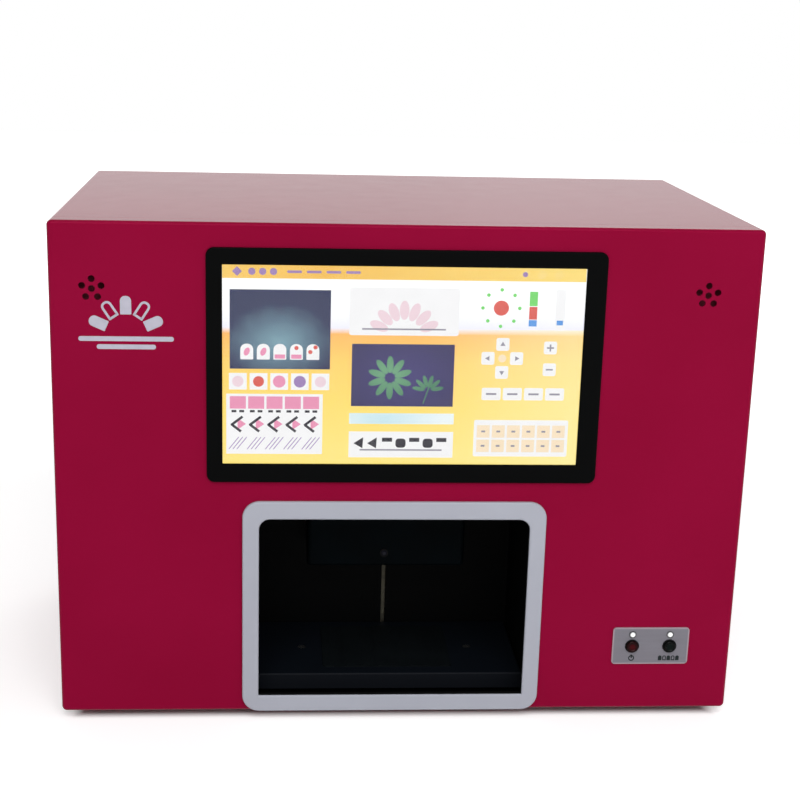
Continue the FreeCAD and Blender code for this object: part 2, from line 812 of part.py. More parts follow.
def lcd_panel():
    """Display module with its control strip and connector on the back."""
    module = slab(view_x, fz(view_z), glass_w, glass_h, 1.5, y_lcd, y_lcd_back)
    lit = box(view_x - glass_w / 2 + lcd_rim, view_x + glass_w / 2 - lcd_rim, y_lcd - 1, y_lcd + lcd_sink,
              fz(view_z) - glass_h / 2 + lcd_rim, fz(view_z) + glass_h / 2 - lcd_rim)
    strip_z = fz(view_z) - glass_h / 2 + strip_rise
    reach = clamp_x - clamp_w
    y_strip = y_lcd_back + strip_t
    strip = box(view_x - reach, view_x + reach, y_lcd_back, y_strip,
                strip_z - strip_h / 2, strip_z + strip_h / 2)
    plug = box(view_x - lcd_plug_w / 2, view_x + lcd_plug_w / 2, y_strip, y_strip + lcd_plug_t,
               strip_z - lcd_plug_h / 2, strip_z + lcd_plug_h / 2)
    return fuse(module.cut(lit), strip, plug)


def screen_clamps():
    """Folded straps from the front panel across the back of the display."""
    hole_top = fz(bezel_z) + bezel_h / 2 - bezel_flange
    hole_low = fz(bezel_z) - bezel_h / 2 + bezel_flange
    y_back = y_lcd_back + clamp_t
    top = hole_top + 1
    low = hole_low - 1
    straps = []
    for s in (-1, 1):
        x0 = bezel_x + s * clamp_x - clamp_w / 2
        profile = [(y_skin, top + clamp_foot), (y_skin + clamp_t, top + clamp_foot),
                   (y_skin + clamp_t, top + clamp_t), (y_back, top + clamp_t), (y_back, low - clamp_t),
                   (y_skin + clamp_t, low - clamp_t), (y_skin + clamp_t, low - clamp_foot),
                   (y_skin, low - clamp_foot), (y_skin, low), (y_lcd_back, low), (y_lcd_back, top),
                   (y_skin, top)]
        straps.append(prism_x(x0, x0 + clamp_w, profile))
    return group(straps)


# ---------------------------------------------------------------- hand bay
arm_z0 = fz(plat_top) - plat_t - arm_h
y_wall = fy(bay_depth)
y_behind = y_wall + liner_t
shroud_y1 = y_wall - shroud_gap
z_ceiling = fz(liner_top)
z_deck = z_ceiling + liner_t
bay_lo = bay_x - bay_half
bay_hi = bay_x + bay_half


def bay_frame():
    """Moulded trim round the hand opening, its spigot reaching through the panel."""
    y0 = y_front - frame_proud
    ring = slab(bay_x, fz(frame_z), frame_w, frame_h, frame_r, y0, y_front)
    ring = fuse(ring, bay_opening(frame_wall, y_front, y_front + frame_spigot))
    ring = ring.cut(bay_opening(0, y0 - 1, y_front + frame_spigot + 1))
    return round_edges(ring, frame_edge_r, lambda b: flat_at(y0, b.YMin, b.YMax))


def bay_liner():
    """Folded box behind the opening, with front flanges, a lift slot and a ceiling window."""
    outer = box(bay_lo - liner_t, bay_hi + liner_t, y_skin, y_behind, z_floor, z_deck)
    inner = box(bay_lo, bay_hi, y_skin - 1, y_wall, z_floor + liner_t, z_ceiling)
    flange = box(bay_lo - liner_flange, bay_hi + liner_flange, y_skin, y_skin + liner_t,
                 z_floor, z_deck + liner_flange)
    slot_z0 = arm_z0 - lift_slot_play
    slot_z1 = arm_z0 + arm_h + lift_travel + lift_slot_play
    slot = slab(slot_x, (slot_z0 + slot_z1) / 2, lift_slot_w, slot_z1 - slot_z0,
                lift_slot_w / 2 - 0.01, y_wall - 1, y_behind + 1)
    window = box(shroud_x0 - pocket_play, shroud_x1 + pocket_play, fy(shroud_y0) - pocket_play,
                 shroud_y1 + pocket_play, z_ceiling - 1, z_deck + 1)
    eye = post(bay_x, fy(camera_y), z_ceiling - 1, camera_r + fit, liner_t + 2)
    bend = box(bay_lo - liner_flange, bay_hi + liner_flange, y_skin - 1, y_skin + bend_r,
               z_floor - 1, z_floor + bend_r)
    return cut(fuse(outer, flange), inner, slot, window, eye, bend)


def print_shroud():
    """Hood that hangs through the ceiling, open at the top, with the print window in its floor."""
    y0 = fy(shroud_y0)
    z0 = fz(shroud_z)
    hood_block = sheet_xy(shroud_x0, shroud_x1, y0, shroud_y1, shroud_r, z0, z_deck + shroud_t)
    hood_block = round_edges(hood_block, shroud_r - 1, lambda b: flat_at(z0, b.ZMin, b.ZMax))
    flange = sheet_xy(shroud_x0 - shroud_flange, shroud_x1 + shroud_flange, y0 - shroud_flange, y_behind,
                      shroud_r, z_deck, z_deck + shroud_t)
    inner = sheet_xy(shroud_x0 + shroud_t, shroud_x1 - shroud_t, y0 + shroud_t, shroud_y1 - shroud_t,
                     shroud_r - shroud_t + 0.5, z0 + shroud_t, z_deck + shroud_t + 1)
    mid = (shroud_x0 + shroud_x1) / 2
    window = sheet_xy(mid - window_w / 2, mid + window_w / 2, fy(nozzle_y) - window_d / 2,
                      fy(nozzle_y) + window_d / 2, window_r, z0 - 1, z0 + shroud_t + 1)
    eye = pin_y(slot_x + lamp_dx, y0 - 1, y0 + shroud_t + 1, fz(lamp_z), lamp_r + 0.05)
    return cut(fuse(hood_block, flange), inner, window, eye)


def bay_lamp():
    """Small domed lamp in the shroud's front wall."""
    body = lamp_r
    profile = [(0, lamp_r * 0.9), (body * 0.6, lamp_r * 0.7), (body * 0.9, 0.6), (body + 0.9, 0.6),
               (body + 0.9, 0), (body, 0), (body, -shroud_t - 1), (0, -shroud_t - 1)]
    return turned(profile, V(slot_x + lamp_dx, fy(shroud_y0), fz(lamp_z)), V(0, -1, 0))


def alignment_camera():
    """Camera with barrel and board, looking down through the liner's ceiling."""
    x, y = bay_x, fy(camera_y)
    z_board = z_deck + camera_rise
    z_mouth = z_ceiling - camera_drop
    board = box(x - camera_board_w / 2, x + camera_board_w / 2, y - camera_board_d / 2,
                y + camera_board_d / 2, z_board, z_board + camera_board_t)
    barrel = post(x, y, z_mouth, camera_r, z_board - z_mouth)
    collar = post(x, y, z_deck, camera_r + camera_collar, camera_rise)
    mouth = post(x, y, z_mouth - 1, camera_r - camera_wall, camera_mouth + 1)
    return cut(fuse(barrel, collar, board), mouth)


# ---------------------------------------------------------------- hand platform and its lift
plat_x0 = bay_lo + plat_play
plat_x1 = bay_hi - plat_play
plat_y1 = y_wall - plat_play
plat_z1 = fz(plat_top)
plat_z0 = plat_z1 - plat_h
pad_half = plat_screw_x - pad_margin
pad_y0 = fy(plat_y0) + pad_margin * pad_end_share
pad_y1 = plat_y1 - pad_margin * pad_end_share


def platform_posts():
    """Places of the platform's screws."""
    return [(bay_x + s * plat_screw_x, fy(plat_screw_y)) for s in (-1, 1)]


def hand_platform():
    """Moulded tray, hollow underneath, with ribs that grip the lift arm and screw posts."""
    block = box(plat_x0, plat_x1, fy(plat_y0), plat_y1, plat_z0, plat_z1)
    block = round_edges(block, plat_edge_r, lambda b: flat_at(plat_z1, b.ZMin, b.ZMax))
    hollow = box(plat_x0 + plat_t, plat_x1 - plat_t, fy(plat_y0) + plat_t, plat_y1 - plat_t,
                 plat_z0 - 1, plat_z1 - plat_t)
    tray = block.cut(hollow)
    ribs = [box(slot_x - arm_t / 2 - plat_rib_t, slot_x + arm_t / 2 + plat_rib_t,
                plat_y1 - arm_reach, plat_y1 - plat_t / 2, plat_z0 + 1, plat_z1 - plat_t / 2)]
    for k in (-2, -1, 1, 2):
        x = bay_x + k * bay_half / 3
        ribs.append(box(x - plat_rib_t / 2, x + plat_rib_t / 2, fy(plat_y0) + 1, plat_y1 - 1,
                        plat_z0 + 2, plat_z1 - plat_t / 2))
    for x, y in platform_posts():
        ribs.append(post(x, y, plat_z0 + 1, head_r + post_wall, plat_h - plat_t))
    groove = box(slot_x - arm_t / 2, slot_x + arm_t / 2, plat_y1 - arm_reach, plat_y1 + 1,
                 plat_z0 - 1, arm_z0 + arm_h)
    recess = sheet_xy(bay_x - pad_half, bay_x + pad_half, pad_y0, pad_y1, 3.0,
                      plat_z1 - pad_recess, plat_z1 + 1)
    tools = [groove, recess]
    for x, y in platform_posts():
        tools.append(post(x, y, plat_z0 - 1, screw_r, plat_h + 2))
        tools.append(post(x, y, plat_z1 - plat_sink, head_r + pocket_play, head_h))
    return cut(fuse(tray, *ribs), *tools)


def finger_pad():
    """Soft pad in the platform's recess with a shallow groove for each finger."""
    pad = sheet_xy(bay_x - pad_half + fit, bay_x + pad_half - fit, pad_y0 + fit, pad_y1 - fit, 2.8,
                   plat_z1 - pad_recess, plat_z1 - pad_recess + pad_t)
    top = plat_z1 - pad_recess + pad_t
    pitch = 2 * pad_half / pad_grooves
    tools = []
    for k in range(pad_grooves):
        x = bay_x + (k - (pad_grooves - 1) / 2) * pitch
        z = top - pad_groove_depth + pad_groove_r
        tools.append(pin_y(x, pad_y0 - 1, pad_y1 + 1, z, pad_groove_r))
    return cut(pad, *tools)


def platform_screws():
    """Flat-headed screws sunk in the platform."""
    top = plat_head_h - plat_sink
    profile = [(0, top), (head_r, top), (head_r, -plat_sink), (screw_r, -plat_sink),
               (screw_r, -plat_sink - plat_shank), (0, -plat_sink - plat_shank)]
    return group(turned(profile, V(x, y, plat_z1), V(0, 0, 1)) for x, y in platform_posts())


def lift_arm():
    """Blade under the platform, through the slot, up to a crosshead on two guide rods."""
    z_cross = fz(cross_z0)
    y_up = y_behind + arm_wall_gap
    y_rod = fy(lift_rod_y)
    y_scr = fy(lift_screw_y)
    bush = lift_rod_r + bush_wall
    y_c0 = y_rod - bush
    profile = [(plat_y1 - arm_reach, arm_z0), (y_up + arm_stem, arm_z0), (y_up + arm_stem, z_cross),
               (y_c0 + 1, z_cross), (y_c0 + 1, z_cross + cross_h), (y_up, z_cross + cross_h),
               (y_up, arm_z0 + arm_h), (plat_y1 - arm_reach, arm_z0 + arm_h)]
    blade = prism_x(slot_x - arm_t / 2, slot_x + arm_t / 2, profile)
    head = sheet_xy(slot_x - lift_rod_dx - bush, slot_x + lift_rod_dx + bush, y_c0, y_scr + bush,
                    bush_wall, z_cross, z_cross + cross_h)
    bores = [post(slot_x + s * lift_rod_dx, y_rod, z_cross - 1, lift_rod_r + run_play, cross_h + 2)
             for s in (-1, 1)]
    bores.append(post(slot_x, y_scr, z_cross - 1, lift_screw_r + run_play, cross_h + 2))
    return cut(fuse(blade, head), *bores)


def lift_rods():
    """Two upright guide rods from the base tray to the top bracket."""
    h = bracket_z + bracket_t + rod_over - sheet_t
    return group(post(slot_x + s * lift_rod_dx, fy(lift_rod_y), z_floor, lift_rod_r, h) for s in (-1, 1))


def lift_bracket():
    """Folded top bracket on the liner's rear wall."""
    half = lift_rod_dx + bracket_side
    z0 = fz(bracket_z)
    y1 = fy(lift_screw_y) + bracket_reach
    shelf = box(slot_x - half, slot_x + half, y_behind, y1, z0, z0 + bracket_t)
    wall = box(slot_x - half, slot_x + half, y_behind, y_behind + bracket_t, z0, z_ceiling - camera_drop)
    holes = [post(slot_x + s * lift_rod_dx, fy(lift_rod_y), z0 - 1, lift_rod_r + press_fit, bracket_t + 2)
             for s in (-1, 1)]
    holes.append(post(slot_x, fy(lift_screw_y), z0 - 1, lift_screw_r + run_play, bracket_t + 2))
    return cut(fuse(shelf, wall), *holes)


def bevelled_block(w, bevel, z0, z1):
    """Square block about the Z axis with its four upright corners cut off."""
    half = w / 2
    loop = []
    for turn in range(4):
        spin = FreeCAD.Rotation(V(0, 0, 1), 90 * turn)
        loop += [spin.multVec(V(half, y, z0)) for y in (bevel - half, half - bevel)]
    return Part.Face(Part.makePolygon(loop + loop[:1])).extrude(V(0, 0, z1 - z0))


def motor_body(length, shaft):
    """Square stepper ending at 0, with its boss and a clear bore for a shaft of this radius."""
    cap = length * motor_cap
    shell = fuse(bevelled_block(motor_w, motor_corner, -cap, 0),
                 bevelled_block(motor_w, motor_corner, -length, cap - length),
                 bevelled_block(motor_w - 2 * motor_waist, motor_corner, cap - length, -cap))
    boss = post(0, 0, 0, motor_boss_r, motor_boss_h)
    bore = post(0, 0, -length * bore_share, shaft + shaft_play, length)
    return cut(fuse(shell, boss), bore)


def placed(solid, place, axis):
    """Solid built along +Z, turned to an axis and moved to its place."""
    spin = FreeCAD.Rotation(V(0, 0, 1), axis)
    solid.Placement = FreeCAD.Placement(place, spin)
    return solid


def lift_motor():
    """Stepper standing on the base tray under the lift screw."""
    return placed(motor_body(motor_l, lift_screw_r), V(slot_x, fy(lift_screw_y), z_floor + motor_l), V(0, 0, 1))


def lift_screw():
    """Lead screw of the lift with its coupling collar."""
    z0 = z_floor + motor_l * (1 - shaft_share)
    z_top = fz(bracket_z) + bracket_t + screw_over
    x, y = slot_x, fy(lift_screw_y)
    collar_z = z_floor + motor_l + motor_boss_h + coupling_gap
    collar = post(x, y, collar_z, lift_screw_r + coupling_wall, fz(cross_z0) - arm_gap - collar_z)
    return fuse(post(x, y, z0, lift_screw_r, z_top - z0), collar)


# ---------------------------------------------------------------- print engine
frame_x0 = bay_x - rail_dx
frame_x1 = bay_x + rail_dx
engine_z0 = z_floor
cross_t = rail_t
z_rod = fz(y_rod_z)
left_wheel_x = bay_x - pulley_dx
right_wheel_x = bay_x + pulley_dx
z_belt = fz(belt_z)
pitch_r = pulley_teeth * belt_pitch / (2 * math.pi)
wheel_r = pitch_r - pitch_drop
wheel_face = belt_w + belt_side_play        # between a pulley's flanges
wheel_w = wheel_face + 2 * pulley_flange
belt_in_r = wheel_r + belt_gap
belt_out_r = belt_in_r + belt_t
y_belt = fy(belt_y)
y_beam = fy(beam_y)
y_beam_back = y_beam + beam_t


def engine_frame():
    """Two folded side plates on feet, joined by front and rear cross plates."""
    y0 = fy(engine_y0)
    y1 = fy(engine_y1)
    z1 = fz(engine_top)
    pieces = []
    tools = []
    for s, x in ((-1, frame_x0), (1, frame_x1)):
        a = min(x, x + s * rail_t)
        pieces.append(box(a, a + rail_t, y0, y1, engine_z0, z1))
        b = min(x, x + s * engine_foot)
        pieces.append(box(b, b + engine_foot, y0, y1, engine_z0, engine_z0 + rail_t))
        mid_z = (engine_z0 + z_deck) / 2
        opening = slab(0, 0, y1 - y0 - 2 * leg_w, z_deck - engine_z0 - leg_w, window_corner,
                       -2 * rail_t, 2 * rail_t)
        opening.rotate(V(0, 0, 0), V(0, 0, 1), 90)
        opening.translate(V(x, (y0 + y1) / 2, mid_z))
        tools.append(opening)
    tools += [post(x, y, engine_z0 - 1, screw_r + fit, rail_t + 2) for x, y in engine_hole_places()]
    pieces.append(box(frame_x0, frame_x1, y0, y0 + cross_t, z_deck + cross_rise, z_rod + cross_up))
    pieces.append(box(frame_x0, frame_x1, y1 - cross_t, y1, z_deck, z_rod + cross_up + cross_rise))
    for s in (-1, 1):
        tools.append(pin_y(bay_x + s * y_rod_dx, y0 - 1, y1 + 1, z_rod, rod_r + press_fit))
    tools.append(pin_y(bay_x, y1 - cross_t - 1, y1 + 1, z_rod, motor_boss_r + fit))
    return cut(fuse(*pieces), *tools)


def y_rods():
    """Fixed guide rods of the gantry, front to back."""
    rods = []
    for s in (-1, 1):
        x = bay_x + s * y_rod_dx
        rods.append(pin_y(x, fy(engine_y0) - y_rod_over, fy(engine_y1) + y_rod_over, z_rod, rod_r))
    return group(rods)


def y_motor():
    """Stepper behind the rear cross plate."""
    return placed(motor_body(motor_l, lift_screw_r), V(bay_x, fy(engine_y1), z_rod), V(0, -1, 0))


def y_lead_screw():
    """Lead screw that drives the gantry forward and back."""
    return pin_y(bay_x, y_beam - lead_in, fy(engine_y1) + motor_l * shaft_share, z_rod, lift_screw_r)


def gantry_frame():
    """Cast frame: two bearing blocks, the beam plate between them and the screw nut."""
    y0 = fy(block_y0)
    z_top = fz(x_rod_z) + rod_r + bush_wall
    y_top = fy(x_rod_y) + rod_r + bush_wall
    z_step = z_rod + rod_r + bush_wall
    blocks = []
    bores = []
    for s in (-1, 1):
        x = bay_x + s * y_rod_dx
        blocks.append(sheet_xy(x - block_w / 2, x + block_w / 2, y0, y_top, 3.0, fz(beam_z0), z_top))
        blocks.append(sheet_xy(x - block_w / 2, x + block_w / 2, y0, y_beam_back, 1.0, fz(beam_z0), z_step))
        bores.append(pin_y(x, y0 - 1, y_beam_back + 1, z_rod, rod_r + run_play))
    half = y_rod_dx + block_w / 2
    beam = box(bay_x - half, bay_x + half, y_beam, y_beam_back, fz(beam_z0), fz(beam_z1))
    top_rib = box(bay_x - half, bay_x + half, y_beam - beam_rib, y_beam, fz(beam_z1) - beam_t, fz(beam_z1))
    nut = pin_y(bay_x, y_beam, y_beam_back + nut_len, z_rod, lift_screw_r + bush_wall)
    bores.append(pin_y(bay_x, y_beam - 1, y_beam_back + nut_len + 1, z_rod, lift_screw_r + run_play))
    bores.append(pin_x(bay_x - half - 1, bay_x + half + 1, fy(x_rod_y), fz(x_rod_z), rod_r + press_fit))
    bores.append(pin_y(left_wheel_x, y_beam - 1, y_beam_back + 1, z_belt, motor_boss_r + fit))
    bores.append(pin_y(right_wheel_x, y_beam - 1, y_beam_back + 1, z_belt, shaft_r))
    for k in (-1, 0, 1):
        x = bay_x + k * beam_window_pitch
        bores.append(box(x - beam_window_w / 2, x + beam_window_w / 2, y_beam - 1, y_beam_back + 1,
                         z_belt - beam_window_h * 0.75, z_belt + beam_window_h * 0.25))
    return cut(fuse(*blocks, beam, top_rib, nut), *bores)


def x_rod():
    """Guide rod of the print carriage."""
    half = y_rod_dx + block_w / 2
    return pin_x(bay_x - half, bay_x + half, fy(x_rod_y), fz(x_rod_z), rod_r)


def x_motor():
    """Stepper on the back of the beam."""
    return placed(motor_body(motor_l, shaft_r), V(left_wheel_x, y_beam_back, z_belt), V(0, -1, 0))


def toothed_wheel():
    """Belt pulley along +Z from 0: grooved drum between two flanges."""
    drum = post(0, 0, pulley_flange, wheel_r, wheel_face)
    grooves = []
    for k in range(pulley_teeth):
        a = 2 * math.pi * k / pulley_teeth
        loop = [V(wheel_r + 1, -tooth_w, 0), V(wheel_r + 1, tooth_w, 0), V(wheel_r - groove_h, tooth_w / 3, 0),
                V(wheel_r - groove_h, -tooth_w / 3, 0)]
        groove = Part.Face(Part.makePolygon(loop + loop[:1])).extrude(V(0, 0, wheel_face))
        groove.translate(V(0, 0, pulley_flange))
        groove.rotate(V(0, 0, 0), V(0, 0, 1), math.degrees(a))
        grooves.append(groove)
    drum = cut(drum, *grooves)
    rims = [post(0, 0, z, belt_out_r + rim_h, pulley_flange) for z in (0, pulley_flange + wheel_face)]
    return fuse(drum, *rims)


def x_drive_pulley():
    """Toothed pulley with the motor's shaft."""
    y_end = y_belt + wheel_w / 2
    shaft = post(0, 0, wheel_w, shaft_r, y_beam_back + motor_l * shaft_share - y_end)
    return placed(fuse(toothed_wheel(), shaft), V(left_wheel_x, y_belt - wheel_w / 2, z_belt), V(0, 1, 0))


def x_idler_pulley():
    """Toothed pulley running on the idler pin."""
    wheel = toothed_wheel().cut(post(0, 0, -1, shaft_r + run_play, wheel_w + 2))
    return placed(wheel, V(right_wheel_x, y_belt - wheel_w / 2, z_belt), V(0, 1, 0))


def idler_pin():
    """Headed pin of the idler pulley, pressed into the beam."""
    y_head = y_belt - wheel_w / 2 - pin_play
    pin = pin_y(right_wheel_x, y_head, y_beam_back, z_belt, shaft_r)
    head = pin_y(right_wheel_x, y_head - pin_head, y_head, z_belt, shaft_r + pin_head)
    spacer = pin_y(right_wheel_x, y_belt + wheel_w / 2 + pin_play, y_beam, z_belt, shaft_r + pin_head)
    return fuse(pin, head, spacer)


def x_belt():
    """Toothed belt round both pulleys, teeth on its two straight runs."""
    y0 = y_belt - belt_w / 2
    y1 = y_belt + belt_w / 2
    span = right_wheel_x - left_wheel_x
    mid = (left_wheel_x + right_wheel_x) / 2
    outer = slab(mid, z_belt, span + 2 * belt_out_r, 2 * belt_out_r, belt_out_r - 0.001, y0, y1)
    inner = slab(mid, z_belt, span + 2 * belt_in_r, 2 * belt_in_r, belt_in_r - 0.001, y0 - 1, y1 + 1)
    loop = outer.cut(inner)
    clear = 2 * belt_pitch
    count = int((span - 2 * clear) / belt_pitch)
    teeth = []
    for k in range(count + 1):
        x = mid + (k - count / 2) * belt_pitch
        for s in (-1, 1):
            root = z_belt + s * (belt_in_r + belt_t / 2)
            tip = z_belt + s * (belt_in_r - tooth_h)
            teeth.append(box(x - tooth_w / 2, x + tooth_w / 2, y0, y1, min(root, tip), max(root, tip)))
    return fuse(loop, *teeth)


cart_mid = (shroud_x0 + shroud_x1) / 2
cart_y0 = fy(nozzle_y) - cart_d * nozzle_share
cart_y1 = cart_y0 + cart_d
cart_x0 = cart_mid - cart_w / 2
cart_x1 = cart_mid + cart_w / 2


def print_carriage():
    """Open cradle for the ink tank with rod bearings, belt fork and the print head's socket."""
    wall = carriage_wall
    z0 = fz(cart_z) - wall
    z_rod_c = fz(x_rod_z)
    cradle = sheet_xy(cart_x0 - wall, cart_x1 + wall, cart_y0 - wall, cart_y1 + wall, 3.0,
                      z0, fz(cart_z) + cart_h * 0.5)
    hollow = box(cart_x0 - fit, cart_x1 + fit, cart_y0 - fit, cart_y1 + fit, fz(cart_z), fz(cart_z) + cart_h)
    bush = rod_r + bush_wall
    bearing = box(cart_x0 - wall, cart_x1 + wall, cart_y1 + fit, fy(x_rod_y) + bush,
                  z_rod_c - bush, z_rod_c + bush)
    y_fork = y_belt + belt_w / 2 + pin_play
    z_run = z_belt - belt_out_r
    slot_z0 = z_run - fork_play
    slot_z1 = z_run + belt_t + tooth_h + fork_play
    fork = box(cart_mid - fork_w / 2, cart_mid + fork_w / 2, fy(x_rod_y) + bush - 1, y_fork,
               slot_z0 - fork_t, slot_z1 + fork_t)
    fork_slot = box(cart_mid - fork_w / 2 - 1, cart_mid + fork_w / 2 + 1, y_belt - belt_w / 2 - fork_play,
                    y_fork + 1, slot_z0, slot_z1)
    bore = pin_x(cart_x0 - wall - 1, cart_x1 + wall + 1, fy(x_rod_y), z_rod_c, rod_r + run_play)
    relief = pin_x(cart_x0 + bush_wall, cart_x1 - bush_wall, fy(x_rod_y), z_rod_c, rod_r + bush_wall / 3)
    half_w_socket = nozzle_w / 2 - socket_inset
    half_d_socket = nozzle_d / 2 - socket_inset
    socket = box(cart_mid - half_w_socket, cart_mid + half_w_socket, fy(nozzle_y) - half_d_socket,
                 fy(nozzle_y) + half_d_socket, z0 - 1, fz(cart_z) + 1)
    window = box(cart_x0 - wall - 1, cart_x1 + wall + 1, cart_y0 + cradle_gap[0], cart_y1 - cradle_gap[1],
                 fz(cart_z) + cradle_sill, fz(cart_z) + cart_h)
    return cut(fuse(cradle, bearing, fork), hollow, fork_slot, bore, relief, socket, window)


def print_head():
    """Tall print head under the carriage, tapering to the nozzle plate."""
    z0 = fz(nozzle_z)
    z1 = fz(cart_z) - carriage_wall
    x0 = cart_mid - nozzle_w / 2
    y0 = fy(nozzle_y) - nozzle_d / 2
    x1 = x0 + nozzle_w
    y1 = y0 + nozzle_d
    inset = nozzle_inset
    body = sheet_xy(x0, x1, y0, y1, 2.0, z0 + nozzle_t, z1)
    plate = sheet_xy(x0 + inset, x1 - inset, y0 + inset, y1 - inset, 1.0, z0, z0 + nozzle_t)
    inset = socket_inset + fit
    neck = box(x0 + inset, x1 - inset, y0 + inset, y1 - inset, z1 - 1, fz(cart_z))
    chute = pin_x(x0 - 1, x1 + 1, y0, z0 + chute_z, chute_r)
    return cut(fuse(body, plate, neck), chute)


def ink_cartridge():
    """Ink tank with a stepped lid and a grip ridge."""
    z0 = fz(cart_z)
    z_grip = z0 + cart_h - lid_h
    z_lid = z_grip - lid_h
    tank = sheet_xy(cart_x0, cart_x1, cart_y0, cart_y1, 2.0, z0, z_lid)
    lid = sheet_xy(cart_x0 + lid_inset, cart_x1 - lid_inset, cart_y0 + lid_inset, cart_y1 - lid_inset, 2.0,
                   z_lid - 1, z_grip)
    y_grip = cart_y0 + 1.5 * grip_t
    grip = box(cart_mid - grip_w / 2, cart_mid + grip_w / 2, y_grip, y_grip + grip_t,
               z_grip - 1, z_grip + lid_h)
    return fuse(tank, lid, grip)


# ---------------------------------------------------------------- controls and speakers
def control_plate():
    """Thin plate on the front with holes for two buttons and two lights."""
    y0 = y_front - plate_t
    plate = slab(plate_x, fz(plate_z), plate_w, plate_h, plate_r, y0, y_front)
    tools = [pin_y(x, y0 - 1, y_front + 1, fz(button_z), barrel_r + fit) for x in button_x]
    tools += [pin_y(x, y0 - 1, y_front + 1, fz(led_z), led_r + fit) for x in button_x]
    return cut(plate, *tools)


def button_switches():
    """Switch bodies: ring on the plate, barrel through the panel, terminals at the back."""
    bore = button_r + button_gap
    cup = button_proud + 3 + button_travel
    end = plate_t + barrel_len
    ring = button_ring_h
    profile = [(bore, ring), (button_ring_r - 0.3, ring), (button_ring_r, ring - 0.3), (button_ring_r, 0),
               (barrel_r, 0), (barrel_r, -end), (0, -end), (0, -cup), (bore, -cup)]
    switches = []
    for x in button_x:
        switch = turned(profile, V(x, y_front - plate_t, fz(button_z)), V(0, -1, 0))
        tabs = [box(x + s * tab_dx - tab_w / 2, x + s * tab_dx + tab_w / 2, fy(barrel_len) - tab_w,
                    fy(barrel_len) + tab_len, fz(button_z) - tab_h / 2, fz(button_z) + tab_h / 2)
                for s in (-1, 1)]
        switches.append(fuse(switch, *tabs))
    return group(switches)


def switch_nuts():
    """Hexagonal nuts behind the front panel."""
    return group(hex_nut(x, y_skin, y_skin + nut_t, fz(button_z), nut_af, barrel_r + press_fit)
                 for x in button_x)


def button_cap(x):
    """Moving cap with a dished face and a bevelled rim."""
    tail = -button_proud - button_tail
    profile = [(0, -button_dish), (button_r * 0.55, -button_dish), (button_r - 2 * cap_bevel, 0),
               (button_r - cap_bevel, 0), (button_r, -cap_bevel), (button_r, tail), (0, tail)]
    return turned(profile, V(x, y_front - button_proud, fz(button_z)), V(0, -1, 0))


def indicator_lights():
    """Domed lamps with rims, behind the plate."""
    rim = led_r + led_rim
    profile = [(0, led_dome), (led_r * 0.5, led_dome), (led_r, led_rim_t), (rim, led_rim_t), (rim, 0),
               (led_r, 0), (led_r, -led_len), (0, -led_len)]
    return group(turned(profile, V(x, y_front - plate_t, fz(led_z)), V(0, -1, 0)) for x in button_x)


def speakers():
    """Round speakers behind the hole patterns: rim, cone, basket and magnet."""
    profile = [(speaker_r, 0), (speaker_r, speaker_rim_t), (speaker_r * 0.62, speaker_depth * 0.55),
               (speaker_r * 0.62, speaker_depth), (0, speaker_depth), (0, speaker_depth * 0.45),
               (speaker_r * 0.3, speaker_depth * 0.4), (speaker_r - speaker_rim_w, 0)]
    return group(turned(profile, V(x, y_skin, fz(speaker_z)), V(0, 1, 0)) for x in speaker_x)


# ---------------------------------------------------------------- electronics
board_y1 = y_rear - screw_len - 0.5
board_y0 = board_y1 - board_d
board_z = z_floor + board_rise
chip_z = board_z + board_t


def mainboard():
    """Computer board with its larger chips and sockets."""
    board = sheet_xy(board_x0, board_x1, board_y0, board_y1, 1.5, board_z, chip_z)
    half = processor_w / 2
    y_mid = board_y0 + sink_y
    chips = [box(board_x - half, board_x + half, y_mid - half, y_mid + half, chip_z, chip_z + processor_t)]
    y = board_y0 + memory_y
    for k in range(memory_chips):
        x = board_x0 + memory_w + k * memory_pitch
        chips.append(box(x, x + memory_w, y, y + memory_d, chip_z, chip_z + memory_t))
    x = board_x1 - choke_inset
    y = board_y0 + choke_y
    chips.append(box(x - choke_w, x, y, y + choke_d, chip_z, chip_z + choke_h))
    x = board_x0 + slot_block_w
    y = board_y0 + slot_block_y
    chips.append(box(x, x + slot_block_w, y, y + slot_block_d, chip_z, chip_z + slot_block_h))
    holes = [post(x, y, board_z - 1, screw_r + fit, board_t + 2) for x, y in board_corners()]
    return cut(fuse(board, *chips), *holes)


def board_corners():
    """Fixing points of the mainboard."""
    rows = (board_y0 + board_inset, board_y1 - board_rear_inset)
    return [(x, y) for x in (board_x0 + board_inset, board_x1 - board_inset) for y in rows]


def board_standoffs():
    """Round standoffs from the tray to the board."""
    return group(post(x, y, z_floor, standoff_r, board_rise) for x, y in board_corners())


def heat_sink():
    """Finned cooler on the processor."""
    z0 = chip_z + processor_t
    y_mid = board_y0 + sink_y
    half = sink_w / 2
    base = box(board_x - half, board_x + half, y_mid - half, y_mid + half, z0, z0 + sink_base)
    fins = []
    for k in range(sink_fins):
        x = board_x - half + k * (sink_w - fin_t) / (sink_fins - 1)
        fins.append(box(x, x + fin_t, y_mid - half, y_mid + half, z0 + sink_base / 2, z0 + sink_h))
    return fuse(base, *fins)


